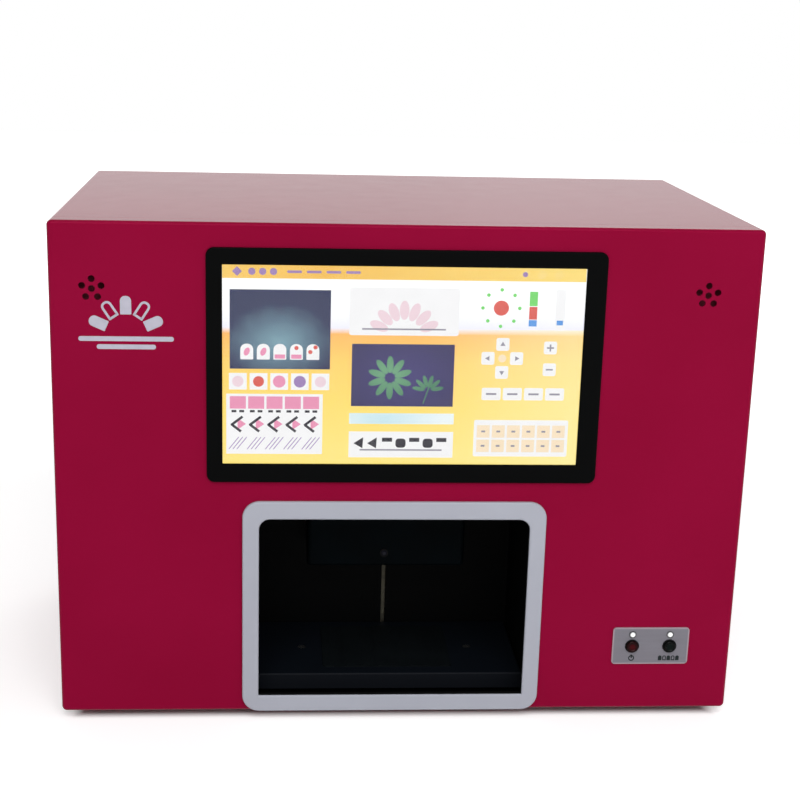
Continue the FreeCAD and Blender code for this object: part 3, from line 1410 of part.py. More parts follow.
def rear_ports():
    """Connector shells at the board's rear edge, flush with the rear panel."""
    shells = []
    wall = port_wall
    y_deep = y_rear - port_mouth
    for (a, b), share in zip(port_cuts(), tongue_share):
        x0 = a + fit
        x1 = b - fit
        z1 = chip_z + port_h
        shell = box(x0, x1, y_rear - port_depth, y_rear, chip_z, z1)
        mouth = box(x0 + wall, x1 - wall, y_deep, y_rear + 1, chip_z + wall, z1 - wall)
        z0 = chip_z + port_h * share
        tongue = box(x0 + wall + tongue_t, x1 - wall - tongue_t, y_deep - 1, y_rear - tongue_sink,
                     z0, z0 + tongue_t)
        shells.append(fuse(shell.cut(mouth), tongue))
    return group(shells)


def power_supply():
    """Vented power supply case on the tray."""
    y1 = y_flange - psu_gap
    y0 = y1 - psu_d
    top = z_floor + psu_h
    case = box(psu_x0, psu_x1, y0, y1, z_floor, top)
    case = round_edges(case, psu_bend, lambda b: flat_at(top, b.ZMin, b.ZMax) and b.YLength > psu_d - 1)
    tools = []
    for k in range(psu_vents):
        y = y0 + psu_d * (k + 1.5) / (psu_vents + 2)
        tools.append(box(psu_x0 + psu_vent_inset, psu_x1 - psu_vent_inset, y - slot_w / 2, y + slot_w / 2,
                         top - psu_vent_t, top + 1))
    return cut(case, *tools)


# ---------------------------------------------------------------- fan and power inlet
y_fan = y_flange - sheet_t
fan_lo = y_fan - fan_t


def fan_frame():
    """Square fan frame with its round duct, corner holes, motor plate and struts."""
    z = fz(fan_z)
    half = fan_w / 2
    y0 = fan_lo + fan_flange
    y1 = y_flange - fan_flange
    y_strut = y_flange - strut_t
    body = slab(fan_x, z, fan_w, fan_w, fan_corner, fan_lo, y_flange)
    duct = pin_y(fan_x, fan_lo - 1, y_flange + 1, z, fan_bore)
    waist = []
    for s in (-1, 1):
        side = s * half
        ear = half - fan_ear
        waist.append(box(fan_x + side - fan_waist, fan_x + side + fan_waist, y0, y1, z - ear, z + ear))
        waist.append(box(fan_x - ear, fan_x + ear, y0, y1, z + side - fan_waist, z + side + fan_waist))
    sleeve = pin_y(fan_x, fan_lo, y_flange, z, fan_bore + fan_wall).cut(duct)
    plate = pin_y(fan_x, y_strut, y_flange, z, hub_r)
    struts = []
    for k in range(4):
        strut = box(-strut_w / 2, strut_w / 2, y_strut, y_flange, 0, fan_bore + 1)
        strut.rotate(V(0, 0, 0), V(0, 1, 0), 45 + 90 * k)
        strut.translate(V(fan_x, 0, z))
        struts.append(strut)
    holes = [pin_y(x, fan_lo - 1, y_flange + 1, z_hole, fan_hole_r) for x, z_hole in fan_hole_places()]
    holes.append(pin_y(fan_x, y_strut - 1, y_flange + 1, z, screw_r + run_play))
    return cut(fuse(cut(body, duct, *waist), sleeve, plate, *struts), *holes)


def fan_rotor():
    """Hub with pitched blades and its spindle in the frame's motor plate."""
    z = fz(fan_z)
    y0 = fan_lo + rotor_gap
    y1 = y_flange - strut_t - rotor_gap
    hub = pin_y(fan_x, y0, y1, z, hub_r)
    hub = hub.makeChamfer(hub_bevel, [e for e in hub.Edges if flat_at(y0, e.BoundBox.YMin, e.BoundBox.YMax)])
    spindle = pin_y(fan_x, y1, y_flange - 0.5, z, screw_r)
    sweep = pin_y(fan_x, y0 + 1, y1 - 1, z, fan_bore - rotor_gap)
    blades = []
    for k in range(blade_count):
        blade = box(-blade_t / 2, blade_t / 2, -fan_t, fan_t, hub_r - 2, fan_bore + 5)
        blade.rotate(V(0, 0, 0), V(0, 0, 1), blade_turn)
        blade.rotate(V(0, 0, 0), V(0, 1, 0), 360 * k / blade_count)
        blade.translate(V(fan_x, (y0 + y1) / 2, z))
        blades.append(blade.common(sweep))
    return fuse(hub, spindle, *blades)


y_rocker = y_rear - rocker_depth
z_rocker = fz(inlet_z) + inlet_h / 4


def power_inlet():
    """Three-pin inlet and rocker housing behind one flange."""
    z = fz(inlet_z)
    step = inlet_lip + fit
    flange = slab(inlet_x, z, inlet_w, inlet_h, inlet_corner, y_rear, y_rear + head_h)
    body = slab(inlet_x, z, inlet_w - 2 * step, inlet_h - 2 * step, inlet_corner / 2 - fit,
                y_rear - inlet_depth, y_rear)
    z_sock = z - inlet_h / 4 + 1
    y_deep = y_rear - socket_depth
    y_out = y_rear + head_h + 1
    socket = slab(inlet_x, z_sock, inlet_w - 2 * socket_side, socket_h, inlet_corner, y_deep, y_out)
    half_x = rocker_w / 2 + rocker_play
    half_z = rocker_h / 2 + rocker_play
    well = box(inlet_x - half_x, inlet_x + half_x, y_deep, y_out, z_rocker - half_z, z_rocker + half_z)
    pins = []
    for x, z_pin in ((inlet_x - pin_dx, z_sock), (inlet_x, z_sock + pin_rise), (inlet_x + pin_dx, z_sock)):
        pins.append(box(x - pin_w / 2, x + pin_w / 2, y_deep - 1, y_rear - pin_sink,
                        z_pin - pin_h / 2, z_pin + pin_h / 2))
    half_x = rocker_w / 2 + trunnion + pin_play
    bearing = pin_x(inlet_x - half_x, inlet_x + half_x, y_rocker, z_rocker, trunnion_r + run_play)
    return fuse(cut(fuse(flange, body), socket, well, bearing), *pins)


def power_rocker():
    """Rocker with two faces at a shallow angle, resting with its lower half pressed."""
    half = rocker_h / 2
    rise = half * math.tan(math.radians(rocker_swing))
    y_face = y_rocker + rocker_face
    y_back = y_rocker - rocker_body
    tail = half * rocker_tail
    profile = [(y_face, z_rocker), (y_face + rise, z_rocker - half), (y_back, z_rocker - tail),
               (y_back, z_rocker + tail), (y_face + rise, z_rocker + half)]
    rocker = prism_x(inlet_x - rocker_w / 2, inlet_x + rocker_w / 2, profile)
    pivot = pin_x(inlet_x - rocker_w / 2 - trunnion, inlet_x + rocker_w / 2 + trunnion,
                  y_rocker, z_rocker, trunnion_r)
    rocker = fuse(rocker, pivot)
    rocker.rotate(V(inlet_x, y_rocker, z_rocker), V(1, 0, 0), rocker_swing)
    return rocker


# ---------------------------------------------------------------- nodes
nodes = {
    "cabinet_cover": cabinet_cover,
    "front_panel": front_panel,
    "base_tray": base_tray,
    "rear_panel": rear_panel,
    "rubber_feet": rubber_feet,
    "rear_screws": rear_screws,
    "screen_bezel": screen_bezel,
    "touch_glass": touch_glass,
    "lcd_panel": lcd_panel,
    "screen_clamps": screen_clamps,
    "bay_frame": bay_frame,
    "bay_liner": bay_liner,
    "print_shroud": print_shroud,
    "bay_lamp": bay_lamp,
    "alignment_camera": alignment_camera,
    "hand_platform": hand_platform,
    "finger_pad": finger_pad,
    "platform_screws": platform_screws,
    "lift_arm": lift_arm,
    "lift_rods": lift_rods,
    "lift_bracket": lift_bracket,
    "lift_motor": lift_motor,
    "lift_screw": lift_screw,
    "engine_frame": engine_frame,
    "y_rods": y_rods,
    "y_motor": y_motor,
    "y_lead_screw": y_lead_screw,
    "gantry_frame": gantry_frame,
    "x_rod": x_rod,
    "x_motor": x_motor,
    "x_drive_pulley": x_drive_pulley,
    "x_idler_pulley": x_idler_pulley,
    "idler_pin": idler_pin,
    "x_belt": x_belt,
    "print_carriage": print_carriage,
    "print_head": print_head,
    "ink_cartridge": ink_cartridge,
    "control_plate": control_plate,
    "button_switches": button_switches,
    "switch_nuts": switch_nuts,
    "left_button": lambda: button_cap(button_x[0]),
    "right_button": lambda: button_cap(button_x[1]),
    "indicator_lights": indicator_lights,
    "speakers": speakers,
    "mainboard": mainboard,
    "board_standoffs": board_standoffs,
    "heat_sink": heat_sink,
    "rear_ports": rear_ports,
    "power_supply": power_supply,
    "fan_frame": fan_frame,
    "fan_rotor": fan_rotor,
    "power_inlet": power_inlet,
    "power_rocker": power_rocker,
}

os.makedirs("parts", exist_ok=True)
for name, make in nodes.items():
    shape = make()
    solids = shape.Solids
    if not shape.isValid() or not solids:
        print("BAD", name)
    box_now = shape.BoundBox
    print(f"{name:18s} solids {len(solids)}  volume {shape.Volume / 1000:9.2f} cm3  "
          f"x {box_now.XMin:7.1f} {box_now.XMax:7.1f}  y {box_now.YMin:7.1f} {box_now.YMax:7.1f}  "
          f"z {box_now.ZMin:6.1f} {box_now.ZMax:6.1f}")
    shape.exportStep(f"parts/{name}.step")
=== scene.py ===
"""Looks of the desktop nail art printer: finishes, lit screen picture, printed marks, camera and light.

Metres, in the frame of the CAD model: X across the front, Y from front to back, Z up from the table.
"""

import math

import bpy
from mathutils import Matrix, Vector


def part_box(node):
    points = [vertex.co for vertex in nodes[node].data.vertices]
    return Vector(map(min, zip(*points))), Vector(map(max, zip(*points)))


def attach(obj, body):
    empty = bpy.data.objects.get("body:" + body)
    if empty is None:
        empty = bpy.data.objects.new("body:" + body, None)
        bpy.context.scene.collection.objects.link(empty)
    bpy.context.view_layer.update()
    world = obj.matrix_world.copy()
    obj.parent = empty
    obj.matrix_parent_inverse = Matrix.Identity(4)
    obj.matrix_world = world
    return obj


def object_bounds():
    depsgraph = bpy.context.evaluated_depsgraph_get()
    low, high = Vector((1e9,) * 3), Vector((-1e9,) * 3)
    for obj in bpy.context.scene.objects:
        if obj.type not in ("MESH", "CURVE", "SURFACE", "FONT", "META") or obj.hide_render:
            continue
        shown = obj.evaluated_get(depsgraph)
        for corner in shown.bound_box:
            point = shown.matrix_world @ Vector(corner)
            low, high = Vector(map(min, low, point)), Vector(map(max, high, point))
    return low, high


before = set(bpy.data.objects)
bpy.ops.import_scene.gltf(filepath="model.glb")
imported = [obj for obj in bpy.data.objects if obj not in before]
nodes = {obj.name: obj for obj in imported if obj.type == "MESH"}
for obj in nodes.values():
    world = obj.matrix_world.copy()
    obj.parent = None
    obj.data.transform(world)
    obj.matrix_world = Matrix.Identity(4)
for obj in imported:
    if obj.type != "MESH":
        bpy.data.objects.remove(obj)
cad_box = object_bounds()
mm = 0.001
bpy.ops.object.select_all(action="DESELECT")


# ---------------------------------------------------------------- shader writing
class Socket:
    """One output of a finish's nodes, with the arithmetic that the finishes are written in."""

    def __init__(self, finish, link):
        self.finish = finish
        self.link = link

    def __add__(self, other):
        return self.finish.maths("ADD", self, other)

    def __sub__(self, other):
        return self.finish.maths("SUBTRACT", self, other)

    def __rsub__(self, other):
        return self.finish.maths("SUBTRACT", other, self)

    def __mul__(self, other):
        return self.finish.maths("MULTIPLY", self, other)

    def __truediv__(self, other):
        return self.finish.maths("DIVIDE", self, other)

    def __gt__(self, other):
        return self.finish.maths("GREATER_THAN", self, other)

    def __lt__(self, other):
        return self.finish.maths("LESS_THAN", self, other)

    def __pow__(self, other):
        return self.finish.maths("POWER", self, other)

    def clamped(self):
        return self.finish.maths("ADD", self, 0.0, clamp=True)

    __radd__ = __add__
    __rmul__ = __mul__


class Finish:
    """A material or the surround being written: every node of it comes from node()."""

    def __init__(self, name, owners=bpy.data.materials):
        self.owner = owners.new(name)
        self.owner.use_nodes = True
        self.tree = self.owner.node_tree
        self.tree.nodes.clear()
        self.place = self.node("TexCoord", output="Object")

    def node(self, kind, sockets=None, output=0, **settings):
        """Add a node of this kind: its settings, then its sockets' values or links; gives one output."""
        made = self.tree.nodes.new("ShaderNode" + kind)
        for setting, value in settings.items():
            if setting == "stops":
                write_stops(made.color_ramp, value)
            else:
                setattr(made, setting, value)
        for socket, value in (sockets or {}).items():
            if isinstance(value, Socket):
                self.tree.links.new(value.link, made.inputs[socket])
            else:
                made.inputs[socket].default_value = value
        return Socket(self, made.outputs[output]) if made.outputs else None

    def maths(self, operation, first, second=0.0, clamp=False):
        """One Math node on sockets or plain numbers."""
        return self.node("Math", {0: first, 1: second}, operation=operation, use_clamp=clamp)

    def noise(self, scale, detail=2.0, stretch=None):
        """Cloudy value about 0.5, in cells of 1/scale metres, stretched along an axis where asked."""
        spot = self.node("Mapping", {"Vector": self.place, "Scale": stretch}) if stretch else self.place
        return self.node("TexNoise", {"Vector": spot, "Scale": scale, "Detail": detail})

    def crystals(self, scale):
        """Value of its own for each crystal of a metal, in cells of 1/scale metres."""
        cell = self.node("TexVoronoi", {"Vector": self.place, "Scale": scale}, output="Color")
        return self.node("SeparateColor", {0: cell})

    def axis(self, name):
        """X, Y or Z of the point, in metres."""
        return self.node("SeparateXYZ", {0: self.place}, output=name)

    def off(self, name, centre=0.0):
        """Distance of the point from a centre along one axis, on either side of it."""
        return self.maths("ABSOLUTE", self.axis(name) - centre)

    def radius(self, across, up):
        """Distance from a centre, of what lies this far across and up from it."""
        return self.maths("SQRT", across ** 2 + up ** 2)

    def mix(self, factor, first, second):
        """Colour between two colours."""
        return self.node("Mix", {0: factor, 6: first, 7: second}, output=2, data_type="RGBA")

    def ramp(self, value, *stops):
        """Colour or grey along a value, from (place, colour) stops."""
        return self.node("ValToRGB", {0: value}, stops=stops)

    def bump(self, height, depth, under=None):
        """Normal of a relief that is this deep, in metres, on top of another relief."""
        sockets = {"Height": height, "Distance": depth, "Strength": 1.0}
        if under is not None:
            sockets["Normal"] = under
        return self.node("Bump", sockets)

    def surface(self, **sockets):
        """Close the finish with a Principled shader: base_color=... sets or links Base Color, and so on."""
        named = {}
        for key, value in sockets.items():
            words = key.split("_")
            named[" ".join(w.upper() if w == "ior" else w.capitalize() for w in words)] = value
        shader = self.node("BsdfPrincipled", named)
        self.node("OutputMaterial", {"Surface": shader})
        return self.owner


def write_stops(ramp, stops):
    """Set a colour ramp's stops from (place, colour) pairs."""
    for extra in range(len(stops) - 2):
        ramp.elements.new(0.5)
    for element, (place, colour) in zip(ramp.elements, stops):
        element.position = place
        element.color = colour if len(colour) == 4 else (*colour, 1.0)


def linear(level):
    """Linear light of an 8-bit screen level."""
    v = level / 255
    return v / 12.92 if v <= 0.04045 else ((v + 0.055) / 1.055) ** 2.4


def paint(red, green, blue):
    """Linear colour of 8-bit screen levels."""
    return (linear(red), linear(green), linear(blue), 1.0)


def grey(value):
    """Linear grey as a colour."""
    return (value, value, value, 1.0)


def dimmed(colour, share, base=0.0):
    """This share of a colour, on a base of grey where asked."""
    return tuple(share * c + base for c in colour[:3]) + (1,)


def bluish(tone, blue):
    """Dark tone whose blue is this many times its red."""
    return (tone, (0.4 + 0.6 * blue) * tone, blue * tone, 1.0)


def middle_of(node):
    """Middle of a CAD node's box."""
    low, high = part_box(node)
    return (low + high) / 2


# ---------------------------------------------------------------- finishes of the CAD nodes
def sprayed_paint():
    """Gloss cerise paint on steel: orange peel, and a batch that clouds a little."""
    f = Finish("sprayed_paint")
    cloud = f.ramp(f.noise(9, 3), (0.35, (0.253, 0.0026, 0.030)), (0.65, (0.271, 0.0030, 0.034)))
    peel = f.bump(f.noise(620), 9e-6)
    dust = f.noise(4200, 1)
    return f.surface(base_color=cloud, roughness=0.13 + f.noise(55, 3) * 0.06, ior=1.22,
                     specular_tint=(0.8, 0.12, 0.25, 1), normal=f.bump(dust, 3e-6, peel))


def pebbled_black(name, tone, grain, depth, roughness, ior=1.12, blue=1.25):
    """Black with a pebbled skin: textured powder coat, or a moulding from a spark-eroded tool."""
    f = Finish(name)
    colour = f.mix(f.noise(30, 4), grey(0.7 * tone), bluish(tone, blue))
    skin = f.noise(grain, 3)
    return f.surface(base_color=colour, roughness=roughness - 0.08 + skin * 0.16, ior=ior,
                     normal=f.bump(skin, depth))


def platform_finish():
    """Blue-black powder coat on the platform, paler over its front fold as a painted highlight."""
    f = Finish("platform_black")
    fold = 0.6 * mm                         # depth of the front that is painted paler as a painted highlight
    # painted highlight: the front fold is coloured paler than the top
    painted_highlight_fold = (f.axis("Y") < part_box("hand_platform")[0].y + fold) * 1.0
    cloud = f.noise(30, 4)
    top = f.mix(cloud, (0.0032, 0.0044, 0.0066, 1), (0.0045, 0.0062, 0.0094, 1))
    painted_highlight_tone = f.mix(cloud, (0.0064, 0.0075, 0.0102, 1), (0.0074, 0.0086, 0.0116, 1))
    skin = f.noise(1900, 3)
    return f.surface(base_color=f.mix(painted_highlight_fold, top, painted_highlight_tone), roughness=0.38 + skin * 0.16, ior=1.12,
                     normal=f.bump(skin, 2e-5))


def rubber(name, tone, roughness, blue=1.0):
    """Matt rubber with a bloom of dust in its pores."""
    f = Finish(name)
    pores = f.noise(1500, 4)
    colour = f.mix(f.noise(45, 5) * pores * 2, bluish(tone, blue), bluish(2.2 * tone, blue))
    return f.surface(base_color=colour, roughness=roughness, ior=1.15, normal=f.bump(pores, 4e-5))


def moulded(name, colour):
    """Fine-grained coloured moulding, its tone a little uneven."""
    f = Finish(name)
    tone = f.mix(f.noise(25, 3), colour, dimmed(colour, 0.9))
    grain = f.noise(2400, 2)
    return f.surface(base_color=tone, roughness=0.35 + grain * 0.1, ior=1.45, normal=f.bump(grain, 4e-6))


def bay_frame_finish():
    """Pale grey moulding, coloured near black as painted shade on the wall of the opening behind its rounded
    edge.
    """
    f = Finish("bay_frame_grey")
    side, end = 10 * mm, 11 * mm            # width of the frame's face
    edge = 1.1 * mm                         # depth of its rounded edge
    low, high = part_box("bay_frame")
    middle = (low + high) / 2
    half = (high - low) / 2
    inside = (f.off("X", middle.x) < half.x - side) * (f.off("Z", middle.z) < half.z - end)
    # painted shade: the wall of the opening behind the rounded edge is coloured near black
    painted_shade_wall = inside * (f.axis("Y") > low.y + edge)
    colour = f.mix(f.noise(25, 3), (0.44, 0.456, 0.52, 1), (0.40, 0.41, 0.47, 1))
    grain = f.noise(2400, 2)
    return f.surface(base_color=f.mix(painted_shade_wall, colour, grey(0.004)), roughness=0.35 + grain * 0.1, ior=1.3,
                     normal=f.bump(grain, 4e-6))


def tinted_button(name, node, colour):
    """Dark tinted cap: the dished middle shows its colour, the bevelled rim is nearly black."""
    f = Finish(name)
    core_r, fade = 1.3 * mm, 1.5 * mm
    middle = middle_of(node)
    radius = f.radius(f.axis("X") - middle.x, f.axis("Z") - middle.z)
    rim = ((radius - core_r) / fade).clamped()
    core = f.mix(f.noise(300, 2), colour, dimmed(colour, 0.6))
    return f.surface(base_color=f.mix(rim, core, dimmed(colour, 0.2, 0.002)),
                     roughness=0.22 + f.noise(900) * 0.08, ior=1.16)


def bare_metal(name, bright, dull, cells, roughness, grain):
    """Metal whose tone and gloss shift from crystal to crystal, under fine scratches as deep as grain."""
    f = Finish(name)
    shade = f.crystals(cells)
    scratches = f.noise(900, 3)
    return f.surface(base_color=f.mix(shade, dull, bright), metallic=1.0,
                     roughness=roughness + shade * 0.08 + scratches * 0.1, normal=f.bump(scratches, grain))


def arm_steel():
    """Phosphated steel of the lift arm, painted brighter from its top down to the platform as painted light.
    """
    f = Finish("phosphated_steel")
    top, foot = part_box("lift_arm")[1].z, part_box("hand_platform")[1].z
    # painted light: the colour runs from a darker tone at the arm's top to a brighter one at the platform
    painted_light_ramp = ((top - f.axis("Z")) / (top - foot)).clamped()
    shade = f.crystals(300)
    painted_shaded_tone = f.mix(shade, (0.045, 0.042, 0.033, 1), (0.062, 0.058, 0.044, 1))
    painted_lit_tone = f.mix(shade, (0.113, 0.105, 0.083, 1), (0.155, 0.145, 0.110, 1))
    scratches = f.noise(900, 3)
    return f.surface(base_color=f.mix(painted_light_ramp, painted_shaded_tone, painted_lit_tone), metallic=1.0,
                     roughness=0.4 + shade * 0.08 + scratches * 0.1, normal=f.bump(scratches, 8e-6))


recess_reach = 1.8 * mm                     # half the length of each slot of a cross recess
recess_half = 0.45 * mm                     # half its width


def crossed_head(name, centres, plane):
    """Zinc-plated screw heads with a cross recess at each centre, in a plane such as XZ; the recess is
    coloured near black as painted shade.
    """
    f = Finish(name)
    recess_and_shade = 0.0
    for centre in centres:
        across, up = (f.off(axis, centre["XYZ".index(axis)]) for axis in plane)
        wide = f.maths("MAXIMUM", across / recess_reach, up / recess_half)
        tall = f.maths("MAXIMUM", across / recess_half, up / recess_reach)
        recess_and_shade = recess_and_shade + (f.maths("MINIMUM", wide, tall) < 1)
    grain = f.noise(900, 3)
    plated = f.mix(grain, grey(0.56), grey(0.72))
    # painted shade: the cross recess is coloured near black and made less metallic
    return f.surface(base_color=f.mix(recess_and_shade, plated, grey(0.02)), metallic=1 - recess_and_shade * 0.6,
                     roughness=0.2 + grain * 0.15 + recess_and_shade * 0.3, normal=f.bump(1 - recess_and_shade, 0.3 * mm))


def screw_middles(node):
    """Middle of each screw of a node, its vertices gathered by their distance across."""
    reach = 16 * mm                         # more than a screw, less than the space between two
    groups = []
    for vertex in nodes[node].data.vertices:
        near = [g for g in groups if (g[0] - vertex.co).length < reach]
        if near:
            near[0].append(vertex.co)
        else:
            groups.append([vertex.co])
    return [Vector([(min(p[i] for p in g) + max(p[i] for p in g)) / 2 for i in range(3)]) for g in groups]


def threaded_steel(name, axis, node, lead):
    """Rolled lead screw: a helical groove round the node's own axis, darker at the bottom of the groove as
    painted shade.
    """
    f = Finish(name)
    middle = middle_of(node)
    first, second = (f.axis(a) - middle["XYZ".index(a)] for a in "XYZ" if a != axis)
    turn = f.maths("ARCTAN2", second, first) / math.tau
    groove_and_shade = f.maths("PINGPONG", f.axis(axis) / lead - turn, 0.5) * 2
    groove_depth = 0.35 * mm
    # painted shade: the colour darkens towards the bottom of the groove
    tone = f.mix(groove_and_shade, grey(0.16), grey(0.6))
    return f.surface(base_color=tone, metallic=1.0, roughness=0.24 + f.noise(1500) * 0.12,
                     normal=f.bump(groove_and_shade, groove_depth))


def stepper_finish(name, node, axis):
    """Stepper motor: black laminations between two bare cast end caps."""
    f = Finish(name)
    cap_share = 0.27                        # each end cap, as a share of the motor's length
    sheet = 0.25 * mm                       # half the pitch of the laminations
    low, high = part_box(node)
    side = "XYZ".index(axis)
    cap = cap_share * (high[side] - low[side])
    along = f.axis(axis)
    bare = ((along < low[side] + cap) + (along > high[side] - cap)).clamped()
    stacked = f.maths("PINGPONG", along, sheet) / sheet * (1 - bare)
    cast = f.noise(1400, 3)
    tone = f.mix(bare, grey(0.012), f.mix(cast, grey(0.34), grey(0.5)))
    return f.surface(base_color=tone, metallic=bare * 0.9, roughness=0.36 + cast * 0.2,
                     normal=f.bump(stacked + cast * 0.4, 4e-5))


def display_finish():
    """Display module: tin rim, and a lit face whose plain backdrop runs from white to amber to yellow."""
    f = Finish("display_module")
    x, y, z = (f.axis(a) for a in "XYZ")
    before, behind = 0.3 * mm, 0.2 * mm     # how far from the lit face the module still counts as lit
    lit = (y < lit_face + behind) * (y > lit_face - before)
    width, height = (x - picture_left) / picture_w, (z - picture_low) / picture_h
    band = 0.69                             # height at which amber gives way to white
    pale_from, pale_by = 0.55, 1.2          # share of the width from which it pales, and how fast
    warm = f.ramp(height, (0.0, paint(255, 226, 120)), (0.3, paint(255, 216, 92)),
                  (0.52, paint(255, 204, 84)), (0.66, paint(252, 178, 72)),
                  (band, paint(238, 236, 250)), (0.8, paint(255, 255, 255)))
    glow = f.mix((width - pale_from).clamped() * pale_by, warm, paint(255, 240, 170))
    glow = f.mix((height > band) * 1.0, glow, warm)
    light = f.mix(lit, grey(0), glow)
    tin = f.noise(800, 3, (1, 1, 8))
    return f.surface(base_color=f.mix(lit, grey(0.5), grey(0.02)), metallic=1 - lit,
                     roughness=0.3 + tin * 0.15, emission_color=light, emission_strength=1.0)


def cover_glass_finish():
    """Clear cover glass with a faint green body."""
    f = Finish("cover_glass")
    smear = f.noise(14, 4)
    tint = f.mix(smear, (0.965, 0.985, 0.975, 1), (0.985, 0.995, 0.99, 1))
    return f.surface(base_color=tint, transmission_weight=1.0, roughness=smear * 0.02, ior=1.25)


def control_plate_finish():
    """Grey anodised plate, brushed along its length, its chamfered rim painted lighter as a painted
    highlight.
    """
    f = Finish("control_plate_grey")
    painted_highlight_w, fade = 1.1 * mm, 0.8 * mm
    low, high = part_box("control_plate")
    middle = (low + high) / 2
    inset_x = f.off("X", middle.x) - ((high.x - low.x) / 2 - painted_highlight_w)
    inset_z = f.off("Z", middle.z) - ((high.z - low.z) / 2 - painted_highlight_w)
    # painted highlight: the chamfered rim is coloured lighter and pinker than the field
    rim = (f.maths("MAXIMUM", inset_x, inset_z) / fade).clamped()
    brushed = f.noise(500, 4, (0.06, 1, 1))
    field = f.mix(brushed, paint(110, 108, 116), paint(124, 122, 131))
    return f.surface(base_color=f.mix(rim, field, paint(168, 150, 160)), metallic=0.15,
                     roughness=0.42 + brushed * 0.12, normal=f.bump(brushed, 1e-5))


def lamp_finish(name, node, count, lens, core, rim, glow, ior=1.4):
    """Domed lenses in a row, lit in the middle, in dark rims; core and rim are radii."""
    f = Finish(name)
    fade = 0.15 * mm                        # from a lens to its dark rim
    low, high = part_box(node)
    reach = (high.z - low.z) / 2
    first = low.x + reach
    pitch = (high.x - low.x - 2 * reach) / max(count - 1, 1)
    across = f.maths("PINGPONG", f.axis("X") - first, pitch / 2) if count > 1 else f.axis("X") - first
    up = f.axis("Z") - (low.z + high.z) / 2
    radius = f.radius(across, up)
    haze = f.mix(f.noise(900, 2), lens, dimmed(lens, 0.9))
    lit = (1 - (radius - core * 0.5) / (core * 0.5)).clamped()
    dark = ((radius - rim) / fade).clamped()
    return f.surface(base_color=f.mix(dark, haze, grey(0.006)), roughness=0.25 + dark * 0.2, ior=ior,
                     emission_color=f.mix(lit * (1 - dark), grey(0), grey(1)), emission_strength=glow)


def circuit_board_finish():
    """Green solder mask over copper tracks; chips and blocks standing on it are black mouldings."""
    f = Finish("circuit_board")
    board_t = 1.6 * mm
    board_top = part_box("mainboard")[0].z + board_t
    pitch, gap = 0.14, 0.62                 # of the tracks: in cells, and bare board as a share of it
    pad_r = 0.16                            # of a solder pad, in its own cells
    cells = f.node("TexVoronoi", {"Vector": f.place, "Scale": 190.0}, distance="CHEBYCHEV", output="Distance")
    tracks = (f.maths("PINGPONG", cells, pitch) / pitch > gap) * 1.0
    pads = f.node("TexVoronoi", {"Vector": f.place, "Scale": 330.0}, output="Distance") < pad_r
    mask = f.mix(tracks, (0.006, 0.075, 0.022, 1), (0.014, 0.14, 0.045, 1))
    board = f.mix(pads, mask, (0.55, 0.5, 0.42, 1))
    chip = (f.axis("Z") > board_top + 0.2 * mm) * 1.0
    moulding = f.mix(f.noise(1800, 2), grey(0.008), grey(0.018))
    return f.surface(base_color=f.mix(chip, board, moulding), metallic=pads * (1 - chip),
                     roughness=0.32 + chip * 0.25, normal=f.bump(tracks * (1 - chip), 3e-5))


def port_finish():
    """Plated connector shells with dark mouldings inside their mouths."""
    f = Finish("port_shells")
    low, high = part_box("rear_ports")
    lip = 0.6 * mm
    height = f.off("Z", (low.z + high.z) / 2)
    inside = (height < (high.z - low.z) / 2 - lip) * (f.axis("Y") < high.y - lip)
    grain = f.noise(1200, 3)
    plated = f.mix(grain, grey(0.5), grey(0.68))
    return f.surface(base_color=f.mix(inside, plated, grey(0.012)), metallic=1 - inside,
                     roughness=0.24 + grain * 0.12 + inside * 0.2, normal=f.bump(grain, 4e-6))


def speaker_finish():
    """Fibrous maroon paper cones in pressed-steel baskets, black ferrite magnets behind them."""
    f = Finish("speaker_paper")
    cone_r = 16.5 * mm
    magnet_share = 0.48                     # where the magnet starts, as a share of the depth
    low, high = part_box("speakers")
    middle = (low + high) / 2
    half = (high.x - low.x) / 2 - (high.z - low.z) / 2
    radius = f.radius(f.off("X", middle.x) - half, f.axis("Z") - middle.z)
    steel = (radius > cone_r) * 1.0
    behind = (f.axis("Y") > low.y + magnet_share * (high.y - low.y)) * 1.0
    fibre = f.noise(700, 5)
    paper = f.mix(fibre, (0.11, 0.001, 0.014, 1), (0.16, 0.002, 0.022, 1))
    core = f.mix(behind, paper, f.mix(fibre, grey(0.02), grey(0.035)))
    return f.surface(base_color=f.mix(steel, core, grey(0.4)), metallic=steel,
                     roughness=0.85 - steel * 0.45, normal=f.bump(fibre, 6e-5))


def print_head_finish():
    """Black cartridge body with a plated nozzle face underneath."""
    f = Finish("print_head_black")
    nozzle_plate = 0.8 * mm
    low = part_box("print_head")[0]
    plated = (f.axis("Z") < low.z + nozzle_plate) * 1.0
    grain = f.noise(2200, 2)
    return f.surface(base_color=f.mix(plated, grey(0.012), (0.75, 0.55, 0.25, 1)), metallic=plated,
                     roughness=0.3 + grain * 0.15, normal=f.bump(grain, 6e-6))


def fan_rotor_finish():
    """Satin black rotor with a blank foil disc on its hub."""
    f = Finish("fan_rotor_black")
    foil_r = 13 * mm
    middle = middle_of("fan_rotor")
    radius = f.radius(f.axis("X") - middle.x, f.axis("Z") - middle.z)
    foil = (radius < foil_r) * 1.0
    grain = f.noise(1800, 2)
    return f.surface(base_color=f.mix(foil, grey(0.012), f.mix(grain, grey(0.42), grey(0.5))),
                     metallic=foil * 0.8, roughness=0.34 + grain * 0.12, normal=f.bump(grain, 6e-6))


